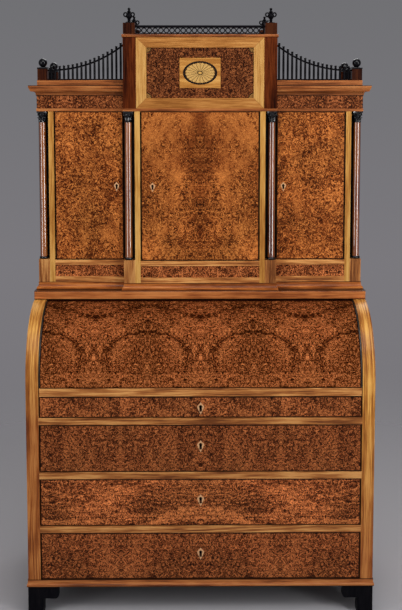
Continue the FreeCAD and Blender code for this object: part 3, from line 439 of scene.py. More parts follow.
burl = ((0.018, 0.004, 0.0012), (0.150, 0.0315, 0.0078), (0.60, 0.185, 0.056))
fine_freckle = 180.0
half_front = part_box("drawer_lower_front")[1].x
box_pine = ((0.34, 0.175, 0.070), (0.52, 0.305, 0.130), (0.64, 0.42, 0.205))
pine_deep_way = straight_wood("pine front to back", box_pine, "y", **unpolished)
drawer_tones = {"lower": 0.92, "middle": 1.40, "upper": 0.90, "shallow": 1.0}
drawer_figures = {
    "lower": dict(leaf=half_front / 2, cloud_scale=(16, 9, 3), cloud_share=0.26, shift=(0, 0, 1.7)),
    "middle": dict(leaf=half_front, cloud_scale=(7, 9, 24), cloud_share=0.44, shift=(0, 0, 3.1), curl=0.60,
                   freckle=fine_freckle),
    "upper": dict(leaf=half_front / 2, cloud_scale=(14, 9, 4), cloud_share=0.34, shift=(0, 0, 5.3)),
    "shallow": dict(leaf=half_front / 2, cloud_scale=(10, 9, 8), shift=(0, 0, 7.9), slip=True)}
for level, figure in drawer_figures.items():
    front = "drawer_" + level + "_front"
    shades = toned(burl, drawer_tones[level])
    assign(burl_veneer(level + " drawer burl", shades, border=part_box(front), **figure), front)
    assign(pine_deep_way, "drawer_" + level + "_box")

# Writing slide
# A pine panel that draws out between rebated bearers, lipped with elm where it shows at the front.
# Its writing surface is veneered with elm and polished like the rails.
assign(straight_wood("slide elm", toned(elm, 1.2), "x", rings=12), "writing_slide")

# Cylinder fall
# A quarter-round shutter of coopered staves faced with six leaves of burl, opened book-wise.
# The matched leaves make rows of dark arches, with a scalloped line above them.
fall_low, fall_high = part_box("cylinder_fall")
fall_axis = next(joint["pos_m"] for joint in frame["joints"] if joint["name"] == "fall_roll")
fall_radius = fall_axis[1] - fall_low.y
fall_leaf = (fall_high.x - fall_low.x) / 6
arch_rise = 0.088
arch_half_width = 0.139
arch_over = 0.091
arch_under = 0.135
scallop_rise = 0.283
scallop_swing = 0.032
eye_rise = 0.092
mark_rise = 0.228
flare_rise = 0.200


def oval(across, up, half_width, half_height):
    """Distance from an oval's centre, with its half axes as one."""
    u, w = across / half_width, up / half_height
    return (u * u + w * w).root()


def fade(field, start, end, shade):
    """A shade that is full up to the start and gone at the end."""
    return ranged(field, start, end, shade, 0.0)


def fall_arches(folded, place, pushed):
    """Arches and scallops, darkest at their crowns and dips, with pale eyes and flares between them. Painted
    shade darkens the fall towards its top.
    """
    girth = (place.z - fall_axis[2]).turn(fall_axis[1] - place.y) * fall_radius
    ripple = noise(pushed, 36, 3, 0.6)
    across = folded - fall_leaf
    up = girth - arch_rise
    up = up.larger(up * (-arch_over / arch_under))
    arch = oval(across, up, arch_half_width, arch_over) + spread(ripple, -0.09, 0.09)
    swing = (folded * (math.pi / fall_leaf)).cosine()
    scallop = girth + swing * scallop_swing - scallop_rise + spread(ripple, -0.008, 0.008)
    eye = oval(folded, girth - eye_rise, 0.008, 0.012)
    mark = oval(across, girth - mark_rise, 0.022, 0.010)
    flare = oval(folded, girth - flare_rise, 0.085, 0.055)
    # Painted shade: the fall is paler at its foot and darker towards its top.
    total = ranged(girth, 0.0, 0.36, 0.05, -0.17)
    total += fade(abs(arch - 1.0), 0.02, 0.12, -0.34) * ranged(girth, 0.03, 0.17, 0.45, 1.0)
    total += fade(abs(scallop), 0.002, 0.014, -0.40) * ranged(swing, -1.0, 1.0, 0.4, 1.0)
    total += fade(arch, 0.0, 0.95, -0.08) + fade(mark, 0.4, 1.2, -0.34) + fade(flare, 0.0, 1.0, 0.13)
    return total + fade(eye, 0.7, 1.1, 0.30) + fade(abs(eye - 1.8), 0.2, 0.7, -0.14)


fall_burl = burl_veneer("fall burl", toned(burl, 1.10), fall_leaf, freckle=fine_freckle,
                        cloud_scale=(8, 8, 8), cloud_share=0.26, shading=fall_arches,
                        border=(fall_low, fall_high), roughness=0.55, shine=0.0)
assign(fall_burl, "cylinder_fall")


# Fall arms and pivots
# Flat iron quadrants screwed to the ends of the fall, turning on iron pins in the case sides.
# The doors also hang on iron pins. The metal is forged, dark and lightly oiled.
def dull_metal(name, dark, light, roughness, scale):
    made, shader, place = finish(name, roughness)
    marks = noise(place, scale, 5, 0.6)
    feed(shader, "Base Color", ramp(marks, (0.3, dark), (0.7, light)))
    feed(shader, "Roughness", spread(marks, roughness * 1.25, roughness * 0.8))
    shader.inputs["Metallic"].default_value = 1.0
    add_bump(shader, marks, 0.0004, 0.2)
    return made


forged_iron = dull_metal("forged iron", (0.030, 0.028, 0.027), (0.085, 0.080, 0.075), 0.5, 70)
assign(forged_iron, "fall_arms", "pivot_pins")

# Pigeonhole case
# A nest of thin elm boards behind the fall, with six pigeonholes over three small drawers.
# The drawer fronts are of pale burl with turned knobs.
assign(elm_across, "pigeonhole_case")
pale_burl = ((0.036, 0.0065, 0.0012), (0.25, 0.055, 0.0105), (0.72, 0.235, 0.052))
nest_burl = burl_veneer("small drawer burl", pale_burl, 0.12, freckle=84.0)
assign(nest_burl, *("inner_drawer_" + side for side in ("left", "centre", "right")))

# Desk top
# A thick cherry board covers the case and carries the upper cabinet, its front edge rounded over.
# The cabinet simply stands on it.
warm_cherry = ((0.22, 0.055, 0.013), (0.43, 0.130, 0.032), (0.58, 0.205, 0.057))
cherry_board = straight_wood("cherry board", warm_cherry, "x", roughness=0.3, rings=6,
                             joints=levels("desk_top"))
assign(cherry_board, "desk_top")

# Upper cabinet carcass
# Sides and partitions stop behind the columns, and stiles and rails of elm frame the doors.
# The front edges are the brightest, straightest elm in the piece. Burl fills the plinth and the friezes.
bright_elm = ((0.34, 0.130, 0.022), (0.53, 0.250, 0.052), (0.68, 0.380, 0.105))
# The stiles' side faces and the front faces of the sides and partitions carry painted shade, almost black,
# for the recesses behind the columns.
assign(straight_wood("bright upright elm", bright_elm, "z", rings=5, shaded_faces="sides"), "door_stiles")
assign(straight_wood("recessed elm", elm, "z", shaded_faces="front"), "cabinet_sides", "cabinet_partitions")
assign(straight_wood("pale elm across", toned(elm, 1.28), "x", rings=12), "cabinet_rails")
red_elm = ((0.15, 0.034, 0.006), (0.36, 0.094, 0.016), (0.56, 0.190, 0.042))
assign(straight_wood("moulding elm", red_elm, "lengths", joints=levels("cabinet_base_moulding")),
       "cabinet_base_moulding")
assign(cherry_lengths, "cabinet_tops", "cornices", "gallery_plinths", "attic_cap")
band_leaf = 0.24
plinth_burl = burl_veneer("plinth burl", toned(burl, 1.36), band_leaf, freckle=fine_freckle,
                          cloud_scale=(12, 9, 9), cloud_share=0.3, shift=(0, 0, 2.2))
assign(plinth_burl, "plinth_panels")
frieze_burl = burl_veneer("frieze burl", toned(burl, 0.80), band_leaf, cloud_scale=(12, 9, 9),
                          cloud_share=0.3, shift=(0, 0, 8.3))
assign(frieze_burl, "side_friezes")

# Doors
# Three flush doors faced with a lighter, more open burl, hung on pins at top and bottom.
# The centre door is book-matched about a dark upright flame, and the side doors carry single leaves.
door_low, door_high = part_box("door_centre")
door_half = (door_high.x - door_low.x) / 2
door_freckle = 145.0
knot_x = 0.117
knot_z = door_low.z + 0.075


def centre_flame(folded, place, pushed):
    ripple = spread(noise(pushed, 16, 3, 0.6), -0.02, 0.02)
    flame = fade(folded + ripple, 0.0, 0.066, -0.22)
    glow = fade(place.z, door_low.z, door_low.z + 0.22, 0.07)
    knot = oval(folded - knot_x, place.z - knot_z, 1, 1) + ripple
    return flame + glow + fade(knot, 0.004, 0.024, -0.40)


centre_burl = burl_veneer("centre door burl", pale_burl, door_half, freckle=door_freckle,
                          cloud_scale=(12, 9, 5), cloud_share=0.30, shift=(0.7, 0, 1.3), shading=centre_flame,
                          border=(door_low, door_high), calm=1.0, calm_above=door_low.z + 0.20)
assign(centre_burl, "door_centre")
for side in ("left", "right"):
    single_leaf = burl_veneer(side + " door burl", pale_burl, 3.0, centre=-1.5, freckle=door_freckle,
                              cloud_scale=(10, 9, 8), cloud_share=0.42, shift=(0.4, 0, 0.9),
                              border=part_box("door_" + side), calm=0.75)
    assign(single_leaf, "door_" + side)

# Columns
# Turned mahogany columns stand free in the notched corners on elm blocks, over black turned bases.
# They are French polished, and the soft boxes draw bright upright lines on them.
column_shades = ((0.06, 0.011, 0.002), (0.19, 0.042, 0.006), (0.36, 0.112, 0.022))
column_red = straight_wood("polished column", column_shades, "z", roughness=0.3, rings=7, coat=1.0,
                           coat_roughness=0.04)
column_red.node_tree.nodes["Principled BSDF"].inputs["Coat IOR"].default_value = 2.1
assign(column_red, "column_shafts")
assign(straight_wood("upright elm", elm, "z"), "column_plinths")
assign(ebonised_wood("polished black", 0.2, 0.4), "column_bases")


# Leaf capitals
# Each column ends in a carved bell with two rings of curled leaves, four scrolls and a hollowed abacus.
# They are of lime wood stained black, and the polish on the leaf edges sparkles.
def make_piece(name, shape, materials, *replaced, body="carcass", slot="ebonised"):
    """Turns a built shape into a finished piece that rides on its body."""
    bmesh.ops.recalc_face_normals(shape, faces=shape.faces)
    for facet in shape.faces:
        facet.smooth = True
    mesh = bpy.data.meshes.new(name)
    shape.to_mesh(mesh)
    shape.free()
    mesh.set_sharp_from_angle(angle=math.radians(36))
    for material in materials:
        mesh.materials.append(material)
    made = add_object(name, mesh)
    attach(made, body)
    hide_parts(*replaced)


def turned(shape, profile, place, steps=28):
    """Adds a turned form: radii and heights spun round an upright axis."""
    rings = []
    for radius, height in profile:
        angles = [math.tau * index / steps for index in range(steps if radius > 0 else 1)]
        rings.append([shape.verts.new((place[0] + radius * math.cos(angle),
                                       place[1] + radius * math.sin(angle), place[2] + height))
                      for angle in angles])
    for low, high in zip(rings, rings[1:]):
        for index in range(steps):
            after = (index + 1) % steps
            edge = [low[index % len(low)], low[after % len(low)], high[after % len(high)]]
            shape.faces.new(list(dict.fromkeys(edge + [high[index % len(high)]])))


def tube(shape, path, radius, across, sides):
    """Adds a round bar along a flat path. Across is the direction square to the path's plane."""
    rows = []
    for index, point in enumerate(path):
        before = path[max(index - 1, 0)]
        after = path[min(index + 1, len(path) - 1)]
        outward = (after - before).normalized().cross(across)
        rows.append([shape.verts.new(point + radius * (math.cos(math.tau * k / sides) * outward
                                                       + math.sin(math.tau * k / sides) * across))
                     for k in range(sides)])
    close_rows(shape, rows)


def close_rows(shape, rows):
    """Skins a stack of like outlines and caps both ends."""
    count = len(rows[0])
    for low, high in zip(rows, rows[1:]):
        for index in range(count):
            after = (index + 1) % count
            shape.faces.new((low[index], low[after], high[after], high[index]))
    shape.faces.new(rows[0])
    shape.faces.new(rows[-1])


def slab(shape, outline, low, high, arris):
    """Adds an upright slab of the given plan outline with softened top and bottom edges."""
    points = [Vector(point) for point in outline]
    centre = sum(points, Vector((0, 0))) / len(points)
    rows = []
    for inset, height in ((arris, low), (0, low + arris), (0, high - arris), (arris, high)):
        drawn_in = [point + (centre - point).normalized() * inset for point in points]
        rows.append([shape.verts.new((*point, height)) for point in drawn_in])
    close_rows(shape, rows)


def geometry_tree(name, *inputs):
    """An empty tree with named inputs: the piece to copy, the sizes and the finish."""
    tree = bpy.data.node_groups.new(name, "GeometryNodeTree")
    for label, kind in (("Piece", "Geometry"), ("Count", "Int"), *inputs, ("Finish", "Material")):
        tree.interface.new_socket(label, in_out="INPUT", socket_type="NodeSocket" + kind)
    tree.interface.new_socket("Geometry", in_out="OUTPUT", socket_type="NodeSocketGeometry")
    return tree, {socket.name: Field(socket) for socket in tree.nodes.new("NodeGroupInput").outputs}


def row_of_copies(given, **changes):
    """Copies of the piece at even steps, each turned or stretched by the given changes."""
    points = add_node(given["Piece"].socket.id_data, "GeometryNodeMeshLine",
                      {"Count": given["Count"], "Start Location": given["Start"], "Offset": given["Step"]})
    placed = {"Points": points, "Instance": given["Piece"], **changes}
    return points.node("GeometryNodeInstanceOnPoints", placed)


def close_tree(tree, given, copies):
    solid = copies.node("GeometryNodeRealizeInstances", {"Geometry": copies})
    painted = solid.node("GeometryNodeSetMaterial", {"Geometry": solid, "Material": given["Finish"]})
    feed(tree.nodes.new("NodeGroupOutput"), "Geometry", painted)


row_tree, given = geometry_tree("row of copies", ("Start", "Vector"), ("Step", "Vector"),
                                ("First Turn", "Vector"), ("Turn Step", "Vector"))
row_index = add_node(row_tree, "GeometryNodeInputIndex")
row_turn = shifted(scaled(given["Turn Step"], row_index), given["First Turn"])
close_tree(row_tree, given, row_of_copies(given, Rotation=row_turn))


def grown(tree, shape, into, **sizes):
    """Runs a geometry tree on a small shape and adds the result to a larger one."""
    seed_mesh = bpy.data.meshes.new("seed")
    shape.to_mesh(seed_mesh)
    seed = add_object("seed", seed_mesh)
    modifier = seed.modifiers.new("copies", "NODES")
    modifier.node_group = tree
    for socket in tree.interface.items_tree:
        key = socket.name.lower().replace(" ", "_")
        if socket.in_out == "INPUT" and key in sizes:
            modifier[socket.identifier] = sizes[key]
    ready = seed.evaluated_get(bpy.context.evaluated_depsgraph_get())
    result = bpy.data.meshes.new_from_object(ready)
    seed.modifiers.remove(modifier)
    bpy.data.objects.remove(seed)
    into.from_mesh(result)
    bpy.data.meshes.remove(result)


def curled_leaf(root, height, width, curl):
    """One leaf that grows up the bell on the x side and curls over at its tip."""
    leaf = bmesh.new()
    bend_share = 0.62
    stem = height * 0.84
    lean = 0.0012
    rows = []
    for step in range(11):
        share = step / 10
        reach = root + lean * min(share, bend_share)
        rise = stem * min(share / bend_share, 1)
        if share > bend_share:
            bend = (share - bend_share) / (1 - bend_share) * math.radians(215)
            reach += curl * (1 - math.cos(bend))
            rise += curl * math.sin(bend)
        lobes = 1 + 0.2 * math.cos(step * math.pi)
        half = width / 2 * (0.72 + 0.42 * math.sin(math.pi * share)) * (1 - 0.5 * share ** 3) * lobes
        rows.append([leaf.verts.new((reach - 0.0014 * u * u + 0.0007 * (u == 0), half * u, rise))
                     for u in (-1, -0.5, 0, 0.5, 1)])
    for low, high in zip(rows, rows[1:]):
        for index in range(4):
            leaf.faces.new((low[index], low[index + 1], high[index + 1], high[index]))
    bmesh.ops.solidify(leaf, geom=leaf.faces[:], thickness=0.0009)
    return leaf


capital_low, capital_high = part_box("column_capitals")
capital_reach = 0.0177
column_inset = 0.017
outer_column = (capital_high.x - capital_reach, capital_high.y - capital_reach)
centre_column = (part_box("attic_case")[1].x - column_inset, capital_low.y + capital_reach)
column_places = [(side * x, y) for x, y in (outer_column, centre_column) for side in (-1, 1)]
carved_black = ebonised_wood("carved black", 0.24, 0.85)
capitals = bmesh.new()
low_leaf = curled_leaf(root=0.0130, height=0.0150, width=0.0092, curl=0.0021)
high_leaf = curled_leaf(root=0.0128, height=0.0265, width=0.0088, curl=0.0024)
leaf_foot = Vector((0, 0, 0.003))
scroll_path = [Vector((0.0135, 0, 0.014)), Vector((0.0150, 0, 0.021))]
scroll_eye = Vector((0.0176, 0, 0.0292))
scroll_radius = 0.0042
scroll_wire = 0.0011
for step in range(22):
    turn = step / 21 * math.radians(520)
    coil = scroll_radius * (1 - 0.8 * step / 21)
    scroll_path.append(scroll_eye + Vector((coil * math.sin(turn), 0, -coil * math.cos(turn))))
scroll = bmesh.new()
tube(scroll, scroll_path, scroll_wire, Vector((0, 1, 0)), 6)
bell_profile = [(0, 0), (0.0136, 0), (0.0145, 0.0012), (0.0136, 0.0026), (0.0126, 0.0032), (0.0126, 0.016),
                (0.0134, 0.026), (0.0152, 0.0325), (0.0158, 0.0332), (0, 0.0332)]
abacus_side = 0.0176
abacus_thickness = 0.0058
for x, y in column_places:
    foot = Vector((x, y, capital_low.z))
    turned(capitals, bell_profile, foot)
    for piece, start, count, first in ((low_leaf, foot + leaf_foot, 8, 0.0),
                                       (high_leaf, foot + leaf_foot, 8, math.tau / 16),
                                       (scroll, foot, 4, math.tau / 8)):
        grown(row_tree, piece, capitals, count=count, start=start, first_turn=(0, 0, first),
              turn_step=(0, 0, math.tau / count), finish=carved_black)
    plan = []
    for corner in range(4):
        for step in range(7):
            along = step / 3 - 1
            edge_point = Vector((abacus_side * (0.86 + 0.14 * along * along), abacus_side * 0.93 * along))
            point = Matrix.Rotation(math.tau / 4 * corner, 2) @ edge_point
            plan.append((x + point.x, y + point.y))
    slab(capitals, plan, capital_high.z - abacus_thickness, capital_high.z, 0.0008)
make_piece("leaf_capitals", capitals, [carved_black], "column_capitals")

# Attic
# A raised box over the centre: mahogany pilasters and walls, a mitred bright elm frame, a sunk burl panel.
# The boards are glued up round a pine box, and the frame's corners are mitred.
mahogany = ((0.014, 0.002, 0.0005), (0.060, 0.0095, 0.0014), (0.13, 0.025, 0.0042))
assign(straight_wood("upright mahogany", mahogany, "z", shine=0.08, coat=0.0), "attic_case")
dark_mahogany = ((0.010, 0.002, 0.001), (0.030, 0.006, 0.002), (0.06, 0.015, 0.004))
assign(straight_wood("dark post mahogany", dark_mahogany, "z", shine=0.08, coat=0.0), "gallery_posts")
attic_low, attic_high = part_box("attic_frame")
frame_width = 0.0365
panel_half = attic_high.x - frame_width
panel_half_height = (attic_high.z - attic_low.z) / 2 - frame_width
panel_middle = (attic_low.z + attic_high.z) / 2
frame_elm = ((0.25, 0.085, 0.014), (0.43, 0.170, 0.036), (0.57, 0.265, 0.070))
assign(straight_wood("mitred frame", frame_elm, "mitre", rings=5), "attic_frame")


def polar(across, up, reach_x, reach_z):
    """Distance, with the given half axes as one, and angle about a point of the front's plane."""
    return oval(across, up, reach_x, reach_z), (up / reach_z).turn(across / reach_x)


def band(field, low, high):
    """One between two values and nothing outside them."""
    return (field > low) * (field < high)


INK = (0.010, 0.004, 0.002)
fan_reach = 0.019
fan_leaves = 8


def corner_fans(place, tone):
    """Quarter fans let into the four corners of the panel."""
    across, up = abs(place.x) - panel_half, abs(place.z - panel_middle) - panel_half_height
    far, turn = polar(across, up, fan_reach, fan_reach)
    petal = (turn * (fan_leaves / math.pi)).fold(0.5)
    tone = tone.mix(far < 1.0, (0.34, 0.165, 0.045))
    tone = tone.mix((petal < 0.16) * (far < 0.9), INK)
    return tone.mix(band(far, 0.86, 1.0), INK)


attic_burl = burl_veneer("attic burl", toned(burl, 0.60), 0.19, cloud_share=0.2, shift=(0, 0, 6.1),
                         pattern_or_shade=corner_fans)
assign(attic_burl, "attic_panel")

# Marquetry plaque
# A pale sycamore tablet let into the attic panel, with a dark oval ring round a fan of petals.
# The petals are sand-shaded at their edges, and a small eye sits at the middle.
plaque_low, plaque_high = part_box("patera_plaque")
plaque_centre = (plaque_low + plaque_high) / 2
oval_half_width = 0.0575
oval_half_height = 0.0392
eye_half_width = 0.0100
eye_half_height = 0.0068
petal_count = 20


def patera(place, tone):
    across, up = place.x - plaque_centre.x, place.z - plaque_centre.z
    far, turn = polar(across, up, oval_half_width, oval_half_height)
    share = (turn * (petal_count / math.tau)).fraction()
    side = share.fold(0.5)
    petal_end = (side * 2.0).root() * 0.10 + 0.80
    inside = far < petal_end
    tone = tone.mix(inside, (0.66, 0.40, 0.125))
    tone = tone.mix(share * inside * 0.45, (0.34, 0.135, 0.028))
    tone = tone.mix((side * (far + 0.05) < 0.056) * inside * 0.85, INK)
    tone = tone.mix(band(far - petal_end, 0.0, 0.045) * 0.8, INK)
    tone = tone.mix(band(far, 0.90, 1.05), INK)
    eye = oval(across, up, eye_half_width, eye_half_height)
    return tone.mix(eye < 1.0, INK).mix(eye < 0.66, (0.62, 0.34, 0.085))


sycamore = ((0.38, 0.145, 0.024), (0.57, 0.260, 0.056), (0.70, 0.380, 0.105))
assign(straight_wood("inlaid plaque", sycamore, "x", rings=5, pattern_or_shade=patera), "patera_plaque")

# Ring gallery
# A low fretted rail stands between the attic posts: touching rings under a moulded bar.
# It is sawn from a black-stained board and glued into grooves in the posts.
satin_black = ebonised_wood("satin black", 0.36, 0.05)
post_half = 0.0208
attic_post_x = 0.249
attic_post_front = -0.0395
attic_post_back = 0.2805
gallery_low, gallery_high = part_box("ring_gallery")
ring_pitch = 0.0197
ring_wall = 0.0034
fret_half = 0.0023
ring_radius = ring_pitch / 2
ring_bore = ring_radius - ring_wall
ring = bmesh.new()
turned(ring, [(ring_radius, -fret_half), (ring_radius, fret_half), (ring_bore, fret_half),
              (ring_bore, -fret_half), (ring_radius, -fret_half)], Vector(), 20)
bmesh.ops.remove_doubles(ring, verts=ring.verts, dist=1e-6)
gallery = bmesh.new()
foot_bar_half = 0.0030
foot_bar_tall = 0.0046
top_bar_half = 0.0034
bar_lap = 0.0006
ring_z = gallery_low.z + 0.0044 + ring_radius


def row_along(start, end, pitch):
    """How many copies fit between two points, where the first one stands, and the step to the next."""
    step = (end - start).normalized() * pitch
    count = int((end - start).length // pitch)
    return count, (start + end - step * (count - 1)) / 2, step


def straight_bar(shape, start, end, half, low, high, arris):
    """Adds a level bar between two points of the plan."""
    along = (end - start).normalized() * half
    across = Vector((-along.y, along.x))
    slab(shape, [start.xy - across, end.xy - across, end.xy + across, start.xy + across], low, high, arris)


def gallery_run(start, end, turn):
    count, first, step = row_along(start, end, ring_pitch)
    grown(row_tree, ring, gallery, count=count, start=first, step=step, first_turn=(math.pi / 2, 0, turn),
          finish=satin_black)
    straight_bar(gallery, start, end, foot_bar_half, gallery_low.z, gallery_low.z + foot_bar_tall, 0.0007)
    straight_bar(gallery, start, end, top_bar_half, ring_z + ring_radius - bar_lap, gallery_high.z, 0.0014)


gallery_run(Vector((-attic_post_x + post_half, attic_post_front, ring_z)),
            Vector((attic_post_x - post_half, attic_post_front, ring_z)), 0)
for side in (-1, 1):
    gallery_run(Vector((side * attic_post_x, attic_post_front + post_half, ring_z)),
                Vector((side * attic_post_x, attic_post_back - post_half, ring_z)), math.pi / 2)
make_piece("fretted_gallery", gallery, [satin_black], "ring_gallery")

# Urn finials
# Small turned urns with a domed lid and two scrolled handles stand on the attic posts.
# They are of black-stained pear wood, each on a dowel.
urn_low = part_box("urn_finials")[0]
urn_profile = [(0, 0), (0.0135, 0), (0.0135, 0.0026), (0.0110, 0.0042), (0.0064, 0.0066), (0.0046, 0.0092),
               (0.0066, 0.0108), (0.0066, 0.0118), (0.0048, 0.0132), (0.0072, 0.0165), (0.0108, 0.0210),
               (0.0118, 0.0250), (0.0108, 0.0292), (0.0070, 0.0335), (0.0050, 0.0358), (0.0078, 0.0378),
               (0.0080, 0.0392), (0.0064, 0.0410), (0.0044, 0.0428), (0.0038, 0.0444)]


def ball_outline(radius, height, first, step):
    """Radii and heights of a ball about a height, from a first angle up to its top."""
    angles = [math.radians(angle) for angle in range(first, 180, step)]
    outline = [(radius * math.sin(angle), height - radius * math.cos(angle)) for angle in angles]
    return outline + [(0, height + radius)]


urn_profile += ball_outline(0.0050, 0.0490, 40, 20)
handle_out = 0.0112
handle_rise = 0.0300
handle_radius = 0.0072
handle_wire = 0.0026
urns = bmesh.new()
for side in (-1, 1):
    for y in (attic_post_front, attic_post_back):
        urn_foot = Vector((side * attic_post_x, y, urn_low.z))
        turned(urns, urn_profile, urn_foot, 24)
        for hand in (-1, 1):
            handle = []
            for step in range(19):
                turn = math.radians(-120 + 330 * step / 18)
                coil = handle_radius * (1 - 0.55 * max(0, step - 9) / 9)
                handle.append(urn_foot + Vector((hand * (handle_out + coil * math.cos(turn)), 0,
                                                 handle_rise + coil * math.sin(turn))))
            tube(urns, handle, handle_wire, Vector((0, 1, 0)), 7)
make_piece("urns", urns, [satin_black], "urn_finials")

# Corner posts' caps and balls
# Each gallery post at the ends carries a black cap board, a short neck and a polished ball.
# The ball is turned in one piece with its neck and glued into the cap.
ball_low, ball_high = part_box("ball_finials")
corner_post_x = 0.558
corner_post_front = -0.0065
corner_post_back = 0.2835
cap_half = 0.0185
cap_thickness = 0.005
ball_radius = 0.0155
balls = bmesh.new()
ball_profile = [(0, 0), (0.0125, 0), (0.0125, 0.0012), (0.0080, 0.0020), (0.0066, 0.0032)]
ball_profile += ball_outline(ball_radius, ball_high.z - ball_radius - ball_low.z - cap_thickness, 30, 10)
for side in (-1, 1):
    for y in (corner_post_front, corner_post_back):
        post = Vector((side * corner_post_x, y, ball_low.z + cap_thickness))
        half_cap = Vector((cap_half, 0, 0))
        straight_bar(balls, post - half_cap, post + half_cap, cap_half, ball_low.z, post.z, 0.0012)
        turned(balls, ball_profile, post, 36)
make_piece("balls", balls, [ebonised_wood("ball black", 0.12, 0.22)], "ball_finials")

# Spindle galleries
# Turned spindles with bud tips pass through a rail that sweeps up from each corner post to the attic.
# Rail, foot rail and spindles are black-stained beech, and a level run goes back along each end.
spindle_tree, given = geometry_tree("swept row of spindles", ("Start", "Vector"), ("Step", "Vector"),
                                    ("Sweep Middle", "Vector"), ("Sweep Radius", "Float"),
                                    ("Stretch", "Float"))
where = add_node(spindle_tree, "GeometryNodeInputPosition")
from_middle = where.x - given["Sweep Middle"].x
drop = (given["Sweep Radius"] * given["Sweep Radius"] - from_middle * from_middle).root()
tall = given["Sweep Middle"].z - drop - where.z
length = tall.node("Mix", {0: given["Stretch"], 2: 1.0, 3: tall})
spindles = row_of_copies(given, Scale=length.node("CombineXYZ", {0: 1.0, 1: 1.0, 2: length}))
lift = tall.node("CombineXYZ", {2: tall * (1.0 - given["Stretch"])})
raised = lift.node("GeometryNodeTranslateInstances", {"Instances": spindles, "Translation": lift})
close_tree(spindle_tree, given, raised)

foot_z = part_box("spindle_railings")[0].z
spindle_pitch = 0.0155
rail_low_rise = 0.034
rail_high_rise = 0.124
rail_tall = 0.005
rail_half = 0.0032
sweep_share = 0.52
rise_share = 0.22
post_face = 0.0175
run_start = corner_post_x - post_face
run_end = 0.271
shaft = bmesh.new()
turned(shaft, [(0, 0), (0.0046, 0), (0.0046, 0.03), (0.0037, 0.06), (0.0041, 0.5), (0.0035, 1.0), (0, 1.0)],
       Vector(), 8)
tip = bmesh.new()
turned(tip, [(0, 0), (0.0036, 0), (0.0036, 0.0056), (0.0045, 0.0068), (0.0036, 0.0084), (0.0038, 0.0110),
             (0.0046, 0.0138), (0.0036, 0.0164), (0, 0.0180)], Vector(), 8)


def arc_through(first, middle, last):
    """Centre and radius of the circle through three points of a plane."""
    (ax, az), (bx, bz), (cx, cz) = first, middle, last
    d = 2 * (ax * (bz - cz) + bx * (cz - az) + cx * (az - bz))
    a2, b2, c2 = ax * ax + az * az, bx * bx + bz * bz, cx * cx + cz * cz
    x = (a2 * (bz - cz) + b2 * (cz - az) + c2 * (az - bz)) / d
    z = (a2 * (cx - bx) + b2 * (ax - cx) + c2 * (bx - ax)) / d
    return (x, 0, z), math.hypot(ax - x, az - z)


railings = bmesh.new()


def spindle_run(start, end, middle, radius):
    """Spindles and foot rail between two points. The spindles end at the sweep's arc."""
    count, first, step = row_along(start, end, spindle_pitch)
    for part, stretch in ((shaft, 1.0), (tip, 0.0)):
        grown(spindle_tree, part, railings, count=count, start=first, step=step, sweep_middle=middle,
              sweep_radius=radius, stretch=stretch, finish=satin_black)
    straight_bar(railings, start, end, rail_half, foot_z, foot_z + rail_tall, 0.0008)


for side in (-1, 1):
    low_end = (side * run_start, foot_z + rail_low_rise)
    high_end = (side * run_end, foot_z + rail_high_rise)
    bow = (low_end[0] + (high_end[0] - low_end[0]) * sweep_share,
           low_end[1] + (high_end[1] - low_end[1]) * rise_share)
    middle, radius = arc_through(low_end, bow, high_end)
    attic_end, post_end = (Vector((side * x, corner_post_front, foot_z)) for x in (run_end, run_start))
    spindle_run(attic_end, post_end, middle, radius)
    path = []
    for step in range(33):
        x = low_end[0] + (high_end[0] - low_end[0]) * step / 32
        z = middle[2] - math.sqrt(radius ** 2 - (x - middle[0]) ** 2)
        path.append(Vector((x, corner_post_front, z + rail_tall / 2)))
    tube(railings, path, rail_half, Vector((0, 1, 0)), 10)
    x = side * corner_post_x
    level_start = Vector((x, corner_post_front + post_face, foot_z))
    level_end = Vector((x, corner_post_back - post_face, foot_z))
    spindle_run(level_start, level_end, (x, 0, foot_z + rail_low_rise + 1.0), 1.0)
    rail_rise = Vector((0, 0, rail_low_rise + rail_tall / 2))
    tube(railings, [level_start + rail_rise, level_end + rail_rise], rail_half, Vector((0, 0, 1)), 10)
make_piece("turned_railings", railings, [satin_black], "spindle_railings")

# Locks
# Each lock is a brass case screwed behind the front, with its bolt drawn back.
# Its keyhole shows at the front in a pointed plate of bone, let in flush. A black ring round the keyhole is
# partly key wear and partly painted shade, and the lock's face behind it is painted black for the shade in
# the hole.
aged_brass = dull_metal("aged brass", (0.36, 0.24, 0.08), (0.62, 0.45, 0.18), 0.34, 45)
bone, shader, place = finish("bone", 0.35, 0.4)
bone_marks = noise(scaled(place, (1, 1, 0.15)), 900, 3, 0.6)
feed(shader, "Base Color", ramp(bone_marks, (0.3, (0.52, 0.270, 0.122)), (0.7, (0.72, 0.405, 0.200))))
add_bump(shader, bone_marks, 0.0002, 0.2)
keyhole_shade = ebonised_wood("blackened keyhole", 0.7, 0.02)
plate_half_width = 0.0115
plate_half_height = 0.0210
plate_half_shares = [(1.0, 0.0), (0.84, 0.18), (0.66, 0.46), (0.52, 0.76), (0.42, 0.94), (0.30, 1.0),
                     (0.16, 0.96), (-0.06, 0.80), (-0.30, 0.58), (-0.54, 0.36), (-0.78, 0.16), (-1.0, 0.0)]
right_edge = [(w * plate_half_width, h * plate_half_height) for h, w in plate_half_shares]
plate_border = right_edge + [(-x, z) for x, z in right_edge[-2:0:-1]]
key_eye = 0.0040
key_eye_rise = 0.0060
key_slot_half = 0.0025
key_slot_drop = 0.0150


